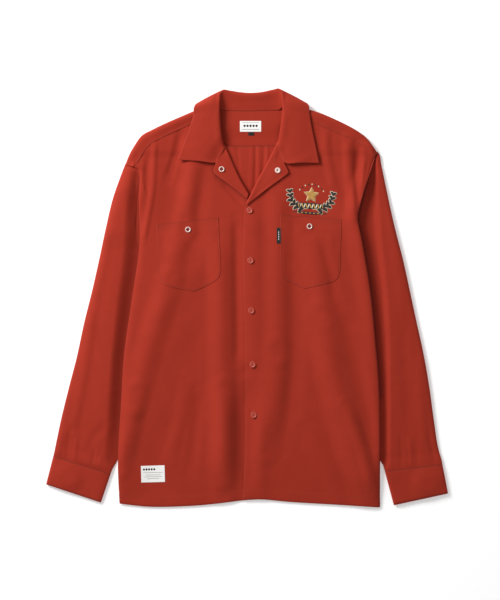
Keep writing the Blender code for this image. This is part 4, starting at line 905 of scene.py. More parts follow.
class Seams:
    """Seam lines gathered for one pass of the topstitch tree."""

    def __init__(self):
        self.points, self.ups, self.edges = [], [], []

    def sew(self, line):
        """Add a row of stitches along a line of points and their upward directions."""
        points, ups = line
        points[:, 2] = np.maximum(points[:, 2], THREAD / 2)
        start = len(self.points)
        self.points += list(points)
        self.ups += list(ups)
        self.edges += [(start + i, start + i + 1) for i in range(len(points) - 1)]

    def stitches(self, name, material):
        """All rows as one plain mesh."""
        guide = bpy.data.meshes.new(name + "_guide")
        guide.from_pydata((np.array(self.points) * MM).tolist(), self.edges, [])
        attribute = guide.attributes.new("up", "FLOAT_VECTOR", "POINT")
        attribute.data.foreach_set("vector", np.array(self.ups, np.float32).ravel())
        obj = in_scene(name + "_guide", guide)
        tree, identifiers = stitch_tree()
        modifier = obj.modifiers.new("topstitch", "NODES")
        modifier.node_group = tree
        for key, value in (("Pitch", STITCH_PITCH * MM), ("Length", STITCH_LENGTH * MM),
                           ("Thread", THREAD * MM), ("Seed", STITCH_SEED), ("Material", material)):
            modifier[identifiers[key]] = value
        graph = bpy.context.evaluated_depsgraph_get()
        mesh = bpy.data.meshes.new_from_object(obj.evaluated_get(graph))
        bpy.data.objects.remove(obj)        # and its modifier with it
        mesh.name = name
        return in_scene(name, mesh)


# ---------------------------------------------------------------- the body's panels
Grid = namedtuple("Grid", "columns rows width fine_width fine_column fine_row")
FRONT_GRID = Grid(29, 21, 255, 250, 3.0, 3.6)   # a front's solid, and the lines of its fine cloth, mm
BACK_GRID = Grid(21, 17, 470, 470, 6.5, 7.0)
RIM = (0.8, 1.6, 2.4, 3.2, 4.2, 6.0, 8.5)       # fine grid lines near a sewn edge, mm from it
BRIDGING = 30           # passes that smooth a front over what it lies on
# Strength of the painted shade: under a lapel, along a front's outer edge, and on the sleeve beside it. It is
# stronger at the left side's edges, which the key light from the wearer's right leaves in shade.
PaintedShadeShare = namedtuple("PaintedShadeShare", "lapel front sleeve")
PAINTED_SHADE_SHARE = {RIGHT: PaintedShadeShare(0.42, 0.1, 0.25), LEFT: PaintedShadeShare(0.2, 0.4, 0.6)}
HEM_LINES = (0.8, 2.0, 5.0, 9.0, 13.5, 15.0, 15.8, 16.5, 17.2, 18.0, 18.8, 20.0, 23.0)      # over a hem
FOLDS_SHOWN = [         # the fronts' soft ridges (+) and troughs (-) in full
    Fold(-172, 294, -177, 200, -194, 105, 9, 1.7),
    Fold(-184, 268, -188, 232, -191, 190, 9, -1.0),
    Fold(-122, 316, -133, 268, -147, 222, 13, -2.6),
    Fold(-128, 290, -142, 200, -150, 110, 34, -2.4),
    Fold(-97, 285, -105, 215, -117, 146, 26, 4.2),
    Fold(-116, 150, -130, 100, -141, 40, 30, 2.6),
    Fold(-143, 35, -186, -100, -212, -200, 34, 5.2),
    Fold(-204, -170, -219, -245, -236, -318, 28, 5.2),
    Fold(-80, 225, -90, 150, -104, 70, 22, -1.6),
    Fold(-52, 118, -48, -60, -50, -340, 32, 5.4),
    Fold(-43, -165, -41, -260, -44, -376, 30, 5.2),
    Fold(-1, -150, 0, -240, -1, -376, 32, -4.8),
    Fold(-20, 150, -19, 60, -17, -120, 14, -2.2),
    Fold(-112, -150, -124, -220, -146, -305, 20, 1.6),
    Fold(-88, -170, -96, -250, -106, -330, 18, -1.6),
    Fold(-52, 222, -28, 196, -4, 172, 11, -2.8),
    Fold(187, 300, 190, 225, 199, 150, 14, 3.2),
    Fold(208, 290, 206, 225, 209, 165, 12, -3.4),
    Fold(219, 262, 216, 235, 211, 200, 7, 1.4),
    Fold(146, 318, 149, 270, 163, 200, 13, 2.0),
    Fold(57, 215, 57, 60, 56, -110, 32, 4.8),
    Fold(56, -90, 50, -190, 34, -290, 34, 5.4),
    Fold(108, 120, 127, 50, 147, -45, 26, 3.0),
    Fold(137, -25, 171, -200, 234, -405, 37, 6.4),
    Fold(182, -20, 200, -110, 236, -270, 22, -2.2),
    Fold(88, 60, 92, -60, 82, -220, 26, -1.6),
    Fold(140, 115, 152, 62, 168, 0, 15, -1.6),
    Fold(104, -236, 140, -300, 186, -384, 30, 2.0),
    Fold(182, -196, 212, -272, 235, -362, 18, 3.4),
]


def edge_rise(x, y):
    """How far the left side seam stands up beside the sleeve."""
    inside_edge = np.maximum(0.0, body_edge_distance(x, y))
    tall = 2.4 + 3.2 * smoothstep(-220, -20, y) + 3.0 * smoothstep(0, 110, y)
    reach = 16 + 18 * smoothstep(-300, -120, y)
    return (x > 0) * tall * (1 - smoothstep(0, 1, inside_edge / reach)) * smoothstep(-340, -280, y) * (
        1 - smoothstep(205, 258, y))


def front_lines(side):
    """Hem, yoke seam, outer edge and centre edge of a front."""
    seam = Line(FRONT_YOKE_SEAM[side]).shifted(-side * LAP)
    outer = Line(SIDE_SEAM[side] + ARMHOLE[side][1:3] + [tuple(seam.at(0))])
    centre = Line(FRONT_EDGE[side] + ROLL_LINE[side][1:] + NECKLINE[side][1:-1] + [tuple(seam.at(1))])
    hem_points = [p for p in HEM if side * p[0] > side * FRONT_EDGE[side][0][0]]
    hem_points = hem_points if side == RIGHT else hem_points[::-1]
    hem = Line([tuple(outer.at(0))] + hem_points[1:] + [tuple(centre.at(0))])
    return hem, seam, outer, centre


def settled_heights(node, lines, across, along, fine_across, fine_along, formula, shown=None, smoothing=0):
    """Fine grid of a panel: the heights of the formula shown, raised as the solid was when it was laid."""
    coarse = coons(*lines, across, along)
    rise = Corners(node).middle(coarse) - formula(coarse[..., 0], coarse[..., 1])
    plan = coons(*lines, fine_across, fine_along)
    for _ in range(smoothing):
        rise[:, 1:-1] = (rise[:, :-2] + 2 * rise[:, 1:-1] + rise[:, 2:]) / 4
    rise = resample_grid(rise, (along, across), (fine_along, fine_across))
    level = (shown or formula)(plan[..., 0], plan[..., 1]) + rise
    return plan, level


def bridged(needed):
    """How far a cloth is raised to clear what it lies on, spanning smoothly between."""
    raised = needed.copy()
    for _ in range(BRIDGING):
        raised[1:-1, 1:-1] = (raised[:-2, 1:-1] + raised[2:, 1:-1] + raised[1:-1, :-2] + raised[1:-1, 2:]) / 4
        raised = np.maximum(raised, needed)
    return raised


def front_cloth(side, under):
    """A front, laid over the back and the sleeve."""
    lines = front_lines(side)
    centre = lines[-1]
    grid = FRONT_GRID
    roll_start = centre.share_of_knot(len(FRONT_EDGE[side]) - 1)
    roll_end = centre.share_of_knot(len(FRONT_EDGE[side]) + len(ROLL_LINE[side]) - 2)
    plan, level = settled_heights(
        "front_" + SIDE_NAME[side], lines,
        edge_shares(grid.columns, grid.width, both=False), even_shares(grid.rows, (roll_start, roll_end)),
        graded(grid.fine_width, grid.fine_column, RIM, RIM),
        graded(centre.length, grid.fine_row, HEM_LINES, RIM),
        front_height, partial(front_height, folds=FOLDS_SHOWN, fade=70.0), smoothing=2)
    x, y = plan[..., 0], plan[..., 1]
    inner = smoothstep(2, 18, body_edge_distance(x, y))
    level = level + inner * (0.12 * ripple(x, y, 46, 3, 1.6) + 0.05 * ripple(x, y, 19, 5))
    level = level + edge_rise(x, y)
    level = level + bridged(np.maximum(0.0, under.height(x, y) + 0.75 * TWILL + 0.15 - level))
    cloth = Cloth(with_height(plan, level))
    # its outer edge comes down to the back at the side seam, and to the sleeve round the armhole
    rest = under.height(x[:, 0], y[:, 0], missing=99.0)
    drop = np.maximum(0.0, level[:, 0] - rest - 0.35)
    level -= drop[:, None] * np.exp(-(cloth.from_col0 / 2.8) ** 2)
    level -= 0.9 * np.exp(-(cloth.from_row0 / 1.7) ** 2)       # and the hem's edge rolls down
    cloth.mid = with_height(plan, level)
    cloth.turn_hem()
    cloth.thick += 0.15 * np.exp(-(cloth.from_col1 / 2.6) ** 2)
    cloth.groove(cloth.from_row0, HEM_STITCH)
    # painted shade on the front under the lapel's lower edge, and along its outer edge
    cloth.shade_edge(distance_to(LAPEL_EDGE[side][:5], x, y), 5.5, PAINTED_SHADE_SHARE[side].lapel)
    cloth.shade_edge(cloth.from_col0, 3.0, PAINTED_SHADE_SHARE[side].front)
    return cloth


def back_lines():
    """Hem, yoke seam and both side edges of the back."""
    edges = {}
    for side in SIDES:
        seam = [(x, y + (2 if i == 0 else 0)) for i, (x, y) in enumerate(SIDE_SEAM[side])]
        stop = BACK_YOKE_SEAM[0 if side == RIGHT else -1]
        tucked = [tuple(p) for p in Line(ARMHOLE[side]).shifted(side * (HIDDEN_LAP - LAP)).points
                  if p[1] < stop[1] - 4]
        edges[side] = Line(seam[:-1] + [(seam[-1][0] - side * 3, seam[-1][1])] + tucked[8::8]
                           + [(stop[0] - side * 2, stop[1])])
    top = Line([tuple(edges[RIGHT].at(1))] + BACK_YOKE_SEAM[1:-1] + [tuple(edges[LEFT].at(1))])
    hem = Line([tuple(edges[RIGHT].at(0))] + [(x, y + 2) for x, y in HEM[1:-1]] + [tuple(edges[LEFT].at(0))])
    return hem, top, edges[RIGHT], edges[LEFT]


BACK_PLEATS = [         # what shows of the back in the neck's opening, below the yoke
    Fold(8, 287, 9, 262, 6, 200, 7, 0.6),
    Fold(15, 288, 16, 262, 14, 196, 5, -0.8),
    Fold(21, 287, 22, 250, 20, 205, 6, 0.6),
    Fold(31, 288, 31, 262, 27, 215, 5, -0.8),
    Fold(38, 287, 38, 265, 34, 225, 4, 0.7),
    Fold(-18, 287, -17, 262, -14, 226, 6, -0.7),
]


def back_cloth():
    """The back: flat on the floor and on the sleeves' edges, pleated below the yoke."""
    lines = back_lines()
    grid = BACK_GRID
    across = graded(grid.fine_width, grid.fine_column, RIM[::2], RIM[::2])
    fine = np.linspace(-30, 50, 46) / grid.width + 0.495        # closer lines where the pleats show
    across = np.sort(np.concatenate([across[(across < fine[0] - 0.004) | (across > fine[-1] + 0.004)], fine]))
    below_yoke = tuple(range(2, 84, 4))
    plan, level = settled_heights(
        "back", lines, edge_shares(grid.columns, grid.width, first=6, second=16), even_shares(grid.rows),
        across, graded(lines[2].length, grid.fine_row, HEM_LINES, below_yoke), sleeve_lift)
    # it stands a little higher in the neck, ripples where nothing presses on it, and stays off the floor
    x, y = plan[..., 0], plan[..., 1]
    level = level + 0.6 * smoothstep(180, 230, y) * (1 - smoothstep(60, 80, np.abs(x)))
    level = np.maximum(level + 0.15 * ripple(x, y, 60, 11, 1.8) + fold_height(BACK_PLEATS, x, y), TWILL / 2)
    level = level + edge_rise(x, y) * smoothstep(-2, 1, body_edge_distance(x, y))
    cloth = Cloth(with_height(plan, level))
    # painted shade along the back's edge under the yoke seam
    cloth.shade_edge(cloth.from_row1, 1.6)
    cloth.turn_hem()
    cloth.mid[..., 2] = np.maximum(cloth.mid[..., 2], cloth.thick / 2)
    return cloth


# ---------------------------------------------------------------- yoke and collar
def refine(grid, row_lines, col_lines, step):
    """A fine smooth grid through a coarse one; the lines are extra places near the edges, (low, high)."""
    places = passed(grid).mean(axis=1), passed(grid.swapaxes(0, 1)).mean(axis=1)
    fine = [graded(place[-1], step, *lines) * place[-1]
            for place, lines in zip(places, (row_lines, col_lines))]
    return resample_grid(grid, places, fine)


def yoke_share(row, reach):
    """How far along its whole column a row of the yoke lies, for a column that stops early."""
    before_turn = TURN_START if reach > TURN_START else 0.385       # in the neck it stops before the turn
    if row <= TURN_START:
        return row / TURN_START * before_turn
    return before_turn + (row - TURN_START) / (1 - TURN_START) * (reach - before_turn)


def yoke_top(x, y):
    """Middle of the yoke's cloth over the fronts and the sleeves' heads."""
    level = float(front_height(np.array([float(x)]), np.array([float(y)]))[0])
    return max(level, SLEEVE_FLAT + CLOTH + GAP) + 2 * CLOTH + GAP + 0.8 - CLOTH / 2


def collar_lift(x, y):
    """How far the back of the yoke is lifted by the collar's fall beneath it."""
    near = smoothstep(306, 322, y) * (1 - smoothstep(92, 108, abs(x - 7)))
    return (SOLID_COLLAR_CLOTH + 2 * GAP + 0.2) * float(near)


def yoke_middle():
    """Middle of the yoke's cloth: its rows from the back seam over the shoulder to the front seam."""
    corners = Corners("yoke")
    grid = np.empty((len(YOKE_ROWS), len(YOKE), 3))
    for c, column in enumerate(YOKE):
        back, fold, front = np.array(column[:6], float).reshape(3, 2)
        back_end = fold + (back - fold) * YOKE_FOLD / np.linalg.norm(back - fold)
        front_start = fold + (front - fold) * YOKE_FOLD / np.linalg.norm(front - fold)
        low = collar_lift(*back_end) + CLOTH / 2
        high = yoke_top(*front_start)
        if column.reach >= TURN_END:
            high = float(corners.middle(front_start))
        for r, row in enumerate(YOKE_ROWS):
            share = yoke_share(row, column.reach)
            if column.reach < 0.5 and row > TURN_START:         # inside the neck it ends under the collar
                x, y = back_end + (fold - back_end) * (row - TURN_START) / (1 - TURN_START) * 1.6
                grid[r, c] = x, y, collar_lift(*back_end) + CLOTH / 2
            elif share <= TURN_START:
                x, y = back + (back_end - back) * share / TURN_START
                grid[r, c] = x, y, collar_lift(x, y) + CLOTH / 2
            elif share < TURN_END:
                angle = math.pi * (share - TURN_START) / (TURN_END - TURN_START)
                base = back_end + (front_start - back_end) * (0.5 - 0.5 * math.cos(angle))
                x, y = base + (fold - base) * math.sin(angle) * (1 - CLOTH / 2 / YOKE_FOLD)
                grid[r, c] = x, y, (low + high) / 2 - (high - low) / 2 * math.cos(angle)
            else:
                x, y = front_start + (front - front_start) * (share - TURN_END) / (1 - TURN_END)
                grid[r, c] = x, y, corners.middle(np.array([x, y]))
    return grid


END_DROP = 2.3          # by which the yoke's ends come down onto the sleeves' heads, mm


def yoke_cloth(ground):
    """The yoke, over the shoulders; its seams are pressed down, the front one onto the fronts and the ends
    onto the sleeves."""
    mid = refine(yoke_middle(), (RIM[::2], RIM), (RIM, RIM), 3.4)
    cloth = Cloth(mid, up=(slice(-8, None), slice(0, 20)))
    seam = mid[-4]
    rest = ground.height(seam[:, 0], seam[:, 1], missing=-9.0)
    drop = np.where((rest > 0) & (seam[:, 2] > 4), np.minimum(0.0, rest + TWILL / 2 - 0.05 - seam[:, 2]), 0.0)
    down = (1 - smoothstep(2.0, 16.0, cloth.from_row1)) * drop[None]
    ends = np.minimum(cloth.from_col0, cloth.from_col1)
    at_end = -END_DROP * np.clip((mid[..., 2] - 0.8) / 7.0, 0, 1) * (1 - smoothstep(1.0, 18.0, ends))
    cloth.mid[..., 2] = np.maximum(cloth.mid[..., 2] + np.minimum(down, at_end), 0.48)
    cloth.thick += 0.12 * np.exp(-(cloth.from_row1 / 6.0) ** 4)
    # the seam's stitch groove and its edge get painted shade
    cloth.groove(cloth.from_row1, EDGE_STITCH, depth=0.1)
    cloth.shade_edge(cloth.from_row1, 0.9, 0.2)
    cloth.relief += 0.10 * ripple(mid[..., 0], mid[..., 1], 40, 23)
    return cloth


NECK_SEAM_TOP = 351.0   # the seam at the back of the neck shows as a straight line


def collar_middle():
    """Middle of the collar's cloth: from the seam over the roll to the free edge, at each station."""
    stations = [GORGE[RIGHT], *COLLAR[1:-1], GORGE[LEFT]]
    crispness = [1.0, 0.45, 0.1] + [0.0] * (len(stations) - 6) + [0.1, 0.45, 1.0]
    along = unit(np.gradient(np.array([s.roll[:2] for s in COLLAR]), axis=0))
    up = np.array([0.0, 0.0, 1.0])
    grid = []
    for station, crisp, (dx, dy) in zip(stations, crispness, along):
        turn = math.radians(abs(station.turn))
        neckward = np.array([dy, -dx, 0.0])
        across = math.cos(turn) * up + math.sin(turn) * neckward
        inward = math.cos(turn) * neckward - math.sin(turn) * up
        seam, roll, middle, edge = np.array(station[:4], float)
        if abs(station.turn) <= 45:
            seam[1] = min(seam[1], NECK_SEAM_TOP + 2.0 * (abs(station.turn) == 45))
        centre = roll + inward * ROLL_RADIUS
        stand_end, fall_start = centre + across * ROLL_RADIUS, centre - across * ROLL_RADIUS
        fall = [fall_start * (1 - t) ** 2 + middle * 2 * t * (1 - t) + edge * t * t
                for t in (0.25, 0.5, 0.78)]
        corner = [(fall_start + middle) / 2, middle, (middle + edge) / 2]
        fall = [smooth * (1 - crisp) + sharp * crisp for smooth, sharp in zip(fall, corner)]
        grid.append([seam, (seam + stand_end) / 2, stand_end, roll, fall_start, *fall, edge])
    return np.array(grid)


def collar_cloth():
    """The collar, from its right end round the back of the neck to its left end."""
    mid = refine(collar_middle(), (RIM[:6], RIM[:6]), (RIM[:4], RIM[:6]), 2.6)
    cloth = Cloth(mid, COLLAR_CLOTH, up=(slice(0, 8), slice(-8, None)))
    # at the gorge the leaf's end is sewn down to the lapel; beside it the leaf stands off the front
    for reach, sunk in ((cloth.from_row0, 3.0), (cloth.from_row1, 2.1)):
        sewn = (1 - smoothstep(4, 28, reach)) * (1 - smoothstep(44, 62, cloth.from_col0))
        proud = (1 - smoothstep(0, 30, reach)) * np.exp(-((cloth.from_col0 - 74) / 16) ** 2)
        cloth.mid[..., 2] += 1.5 * proud - sunk * sewn
    cloth.thick -= 0.65 * np.exp(-(cloth.from_col0 / 5.0) ** 2)
    cloth.mid[..., 2] = np.maximum(cloth.mid[..., 2], COLLAR_CLOTH / 2 + 0.22)
    # painted shade along the collar's neck seam
    cloth.shade_edge(cloth.from_col0, 0.8, 0.1)
    edges = np.minimum(cloth.from_col1, np.minimum(cloth.from_row0, cloth.from_row1))
    cloth.relief += 0.18 * np.exp(-((edges - 2.6) / 2.4) ** 2)     # the turned-in edges make a soft welt
    return cloth


def lapel_cloth(side, ground):
    """The turned-back top of a front, from its roll to the free edge."""
    roll = Line(LAPEL_ROLL_SHOWN[side]).shifted(side * ROLL_OFFSET)
    edge = Line(LAPEL_EDGE_SHOWN[side])
    across, along = np.array((0, 0.08, 0.3, 0.55, 0.8, 1.0)), even_shares(13)

    def plan(u, v):
        start, end = roll.at(0.04 + 0.96 * v), edge.at(0.02 + 0.98 * v)
        return start[:, None] + (end - start)[:, None] * u[None, :, None]

    coarse = plan(across, along)
    level = Corners("lapel_" + SIDE_NAME[side]).middle(coarse)
    width = np.linalg.norm(coarse[:, -1] - coarse[:, 0], axis=1).max()
    fine_u, fine_v = graded(width, 2.2, RIM[:5], RIM[:6]), graded(roll.length, 2.2, RIM[:3], RIM[:6])
    fine = plan(fine_u, fine_v)
    level = resample_grid(level, (along, across), (fine_v, fine_u))
    cloth = Cloth(with_height(fine, level), LAPEL_CLOTH)
    # the roll goes down to the front's own edge
    under = ground.height(fine[..., 0], fine[..., 1], missing=4.0) + LAPEL_CLOTH / 2 + 0.1
    near_roll = np.exp(-(cloth.from_col0 / 1.1) ** 2)
    cloth.mid[..., 2] += near_roll * np.minimum(0.0, under - cloth.mid[..., 2])
    # its lower edge stands off the front
    cloth.mid[..., 2] += 2.0 * smoothstep(8, 30, cloth.from_row0) * smoothstep(5, 30, cloth.from_col0)
    edges = np.minimum(cloth.from_col1, cloth.from_row0)
    cloth.relief += 0.12 * np.exp(-((edges - 2.2) / 2.0) ** 2)
    return cloth


# ---------------------------------------------------------------- sleeves and cuffs
def ring_shares(width, step):
    """Shares round a flattened tube: over its front from the outer fold, then back behind; and its sides."""
    fold = (0.4, 1.0, 1.8, 2.8, 4.0, 5.2, 6.6, 9.0)
    front = graded(width, step, fold, fold)
    back = graded(width, 2 * step, fold[::2], fold[::2])[1:-1][::-1]
    return np.concatenate([front, back]), np.concatenate([np.ones(len(front)), -np.ones(len(back))])


def cuff_folds(side, along):
    """Points on a cuff's outer and inner folds, at a share of the way from its seam to its end."""
    seam_outer, seam_inner, end_outer, end_inner = np.array(CUFF[side], float)
    return seam_outer + along * (end_outer - seam_outer), seam_inner + along * (end_inner - seam_inner)


def button_under_cuff(side):
    """Plan point of the button under a cuff."""
    outer, inner = cuff_folds(side, CUFF_BUTTON_ALONG)
    return outer + (inner - outer) * CUFF_BUTTON_ACROSS


def cuff_floor(side, plan):
    """Underside of a cuff, lifted by the button under it."""
    away = np.linalg.norm(plan - button_under_cuff(side), axis=-1)
    return (BUTTON_HEIGHT + 2 * GAP + 0.2) * (1 - smoothstep(9, 38, away))


def tube_cloth(plan, floor, tall, shares, facing, thick, rolls):
    """A flattened tube from the plan, underside and height of its rings; its outer side is where they say.

    rolls are the plan depths over which it rounds down to its outer and inner folds.
    """
    widths = np.linalg.norm(plan[:, shares.argmax()] - plan[:, 0], axis=-1)[:, None]
    depths = [np.where(facing > 0, roll, SLEEVE_EDGE)[None] for roll in rolls]
    rise = np.minimum(edge_height(shares[None] * widths, depths[0]),
                      edge_height((1 - shares)[None] * widths, depths[1]))
    outer = with_height(plan, floor + tall / 2 * (1 + facing[None] * rise))
    cloth = Cloth(outer, thick, ring=True)
    normal, flipped = cloth.normals()
    cloth.mid = outer - (-normal if flipped else normal) * thick / 2
    cloth.mid[..., 2] = np.maximum(cloth.mid[..., 2], thick / 2)
    return cloth


SLEEVE_CREASES = {
    RIGHT: [
        Fold(-288, -20, -303, -130, -327, -250, 15, 1.6),
        Fold(-262, 150, -272, 60, -290, -20, 16, 0.9),
        Fold(-264, -236, -286, -262, -300, -296, 13, -0.8),
        Fold(-346, -250, -350, -278, -354, -300, 7, 0.8),
        Fold(-329, -240, -334, -272, -336, -304, 7, -0.8),
        Fold(-318, -258, -321, -282, -322, -307, 6, 0.9),
        Fold(-284, -280, -287, -298, -290, -315, 6, -0.8),
        Fold(-272, -292, -274, -304, -276, -318, 6, 0.7),
    ],
    LEFT: [
        Fold(290, -60, 296, -150, 304, -240, 18, -1.0),
        Fold(322, -120, 326, -200, 332, -280, 14, 1.0),
        Fold(268, 160, 280, 70, 296, -20, 16, 0.9),
        Fold(286, -258, 288, -288, 289, -316, 7, -0.7),
        Fold(303, -262, 306, -288, 307, -314, 6, 0.9),
        Fold(316, -268, 318, -290, 319, -314, 6, -0.6),
        Fold(338, -250, 345, -280, 350, -308, 8, -0.9),
    ],
}
# The crest of a sleeve where it falls to the valley beside the body.
CREST = {
    RIGHT: [(-214, 250), (-227, 200), (-231, 150), (-233, 100), (-238, 50), (-245, 0), (-251, -60),
            (-257, -120), (-261, -180), (-264, -240), (-270, -300)],
    LEFT: [(241, 262), (241, 200), (243, 150), (247, 100), (253, 50), (258, 0), (261, -60), (263, -130),
           (264, -200), (264, -300)],
}
CREST_RISE = {RIGHT: 5.6, LEFT: 1.0}        # of the crest over the rest of the sleeve, mm


def beside_body(side, x, y, full):
    """Height of a sleeve near the body: it falls from its crest to the body's edge, and passes under it."""
    edge = np.interp(y, BODY_EDGE[side].points[:, 1], BODY_EDGE[side].points[:, 0])
    crest_x, crest_y = np.array(CREST[side][::-1], float).T
    share = side * (x - edge) / np.maximum(side * (np.interp(y, crest_y, crest_x) - edge), 6.0)
    sewn = smoothstep(-10, 30, y - SIDE_SEAM[side][-1][1])      # round the armhole it is sewn to the body
    rise = CREST_RISE[side] * (0.5 + 0.5 * smoothstep(-300, -170, y))
    rise = rise + 2.4 * (side == RIGHT) * sewn * (1 - smoothstep(190, 235, y))
    crest = full + rise * (1 - 0.6 * smoothstep(1.0, 3.4, share))
    if side == RIGHT:
        low = SLEEVE_FLAT - 2.0 * (1 - 0.7 * sewn) * smoothstep(-0.5, 0.0, share)
        return low + (crest - low) * smoothstep(0.03 - 0.09 * sewn, 0.96, share)
    low = SLEEVE_FLAT - 2.3 * smoothstep(-0.1 + 0.2 * sewn, 0.5, share)
    return low + (crest - low) * smoothstep(0.72, 1.2, share)


def sleeve_rings(side, shares, facing):
    """A sleeve's rings from its open end under the armhole to its end inside the cuff: plan x and y,
    underside and height of each of their points."""
    armhole = Line(ARMHOLE[side][::-1] + [ARMHOLE_FOOT[side]])
    yoke_end = YOKE[0 if side == RIGHT else -1].back_y
    rings = []

    def ring(plan, floor, tall):
        flat = np.ones(len(shares))
        rings.append(np.column_stack([plan, floor * flat, tall * flat]))

    # two rings follow the armhole: the back wall is tucked further under the body than the front wall
    for front, back, inset in ((-side * (LAP + 3), -side * HIDDEN_LAP, 1.5), (side * 3, side * 3, 0.3)):
        end_share = (inset + shares * (armhole.length - inset)) / armhole.length
        front, back = (armhole.shifted(offset).at(end_share) for offset in (front, back))
        plan = np.where(facing[:, None] > 0, front, back)
        ring(plan, (CLOTH + 2 * GAP) * smoothstep(yoke_end - 45, yoke_end - 4, plan[:, 1]), SLEEVE_FLAT)
    start, end = armhole.at(0), armhole.at(1)
    bow = armhole.at(shares) - (start + (end - start) * shares[:, None])
    for section in SLEEVE[side]:
        outer, inner = (np.array(p) for p in section_ends(section, side))
        ring(outer + (inner - outer) * shares[:, None] + section.bend * bow, 0.0, SLEEVE_FLAT + section.loft)
    for along, inset in ((-0.12, 0.0), (-0.02, 0.1), (0.10, CUFF_INSET)):
        outer, inner = cuff_folds(side, along)
        edge = inset / np.linalg.norm(inner - outer)
        plan = outer + (inner - outer) * (edge + shares * (1 - 2 * edge))[:, None]
        ring(plan, cuff_floor(side, plan) + CUFF_WALL, CUFF_HEIGHT - 2 * CUFF_WALL)
    return np.array(rings)


def evened(plan, centre, reach=30, passes=30):
    """Rings of a sleeve with their points evened out near a plan point, where they crowd."""
    near = np.exp(-(np.linalg.norm(plan - centre, axis=-1) / reach) ** 2)[..., None]
    for _ in range(passes):
        even = (np.roll(plan, 1, axis=1) + np.roll(plan, -1, axis=1)) / 2
        even[1:-1] = (2 * even[1:-1] + plan[:-2] + plan[2:]) / 4
        plan = plan + near * (even - plan)
    return plan


def sleeve_cloth(side):
    """A sleeve: a flat tube, drawn up beside the body, pinched where the cuff holds it."""
    shares, facing = ring_shares(160, 3.2)
    coarse = sleeve_rings(side, shares, facing)
    knots = passed(coarse[..., :2]).mean(axis=1)
    along = graded(knots[-1], 3.4) * knots[-1]
    fine = resample(coarse, knots, along)
    plan, floor, tall = fine[..., :2], np.maximum(fine[..., 2], 0.0), fine[..., 3]
    plan = evened(plan, np.array(ARMHOLE[side][0]) + (side * 6, 0))
    x, y = plan[..., 0], plan[..., 1]
    free = smoothstep(3, 20, -body_edge_distance(x, y))
    creases = fold_height(SLEEVE_CREASES[side], x, y)
    creases = creases + 0.2 * ripple(x, y, 52, 31 + side, 1.5) + 0.08 * ripple(x, y, 20, 41 + side)
    above_cuff = 1 - smoothstep(knots[-3] - 4, knots[-2] + 4, along)[:, None]
    below_head = smoothstep(knots[1] - 5, knots[1] + 5, along)[:, None] * above_cuff
    beside = beside_body(side, x, y, tall)
    tall = SLEEVE_FLAT + (tall - SLEEVE_FLAT) * (1 - below_head) * free + (beside - SLEEVE_FLAT) * below_head
    tall = np.maximum(tall + free * creases * (0.35 + 0.65 * above_cuff), 1.5)
    rolls = (14 if side == RIGHT else 8, SLEEVE_EDGE)
    cloth = tube_cloth(plan, floor, tall, shares, facing, TWILL, rolls)
    # painted shade on the sleeve beside the body, from the shoulder to the hem's vent
    from_body = np.abs(body_edge_distance(x, y)) + 99 * (y < SIDE_SEAM[side][1][1])
    cloth.shade_edge(from_body, 6.0, PAINTED_SHADE_SHARE[side].sleeve)
    return cloth


def cuff_cloth(side):
    """A cuff: a closed band over the sleeve's end, which sags a little between its folds."""
    shares, facing = ring_shares(108, 2.6)
    along = graded(CUFF_LENGTH, 2.4, RIM, RIM)
    outer, inner = cuff_folds(side, along[:, None])
    plan = outer[:, None] + (inner - outer)[:, None] * shares[None, :, None]
    x, y = plan[..., 0], plan[..., 1]
    floor = cuff_floor(side, plan)
    sag = 0.9 * np.sin(np.pi * np.minimum(shares, 1 - shares)[None] * 2) * smoothstep(0, 0.5, along)[:, None]
    roll_down = 1.6 * np.exp(-((1 - along) * CUFF_LENGTH / 2.0) ** 2)[:, None]
    tall = CUFF_HEIGHT - 0.5 * sag + 0.15 * ripple(x, y, 34, 51 + side) - roll_down
    cloth = tube_cloth(plan, floor, tall, shares, facing, CUFF_CLOTH, (8, 17) if side == RIGHT else (8, 8))
    for edge in (cloth.from_row0, cloth.from_row1):
        cloth.groove(edge, EDGE_STITCH)
    # painted shade along the cuff's seam with the sleeve, and a little in its stitch grooves
    cloth.shade_edge(cloth.from_row0, 1.0, 0.6)
    return cloth


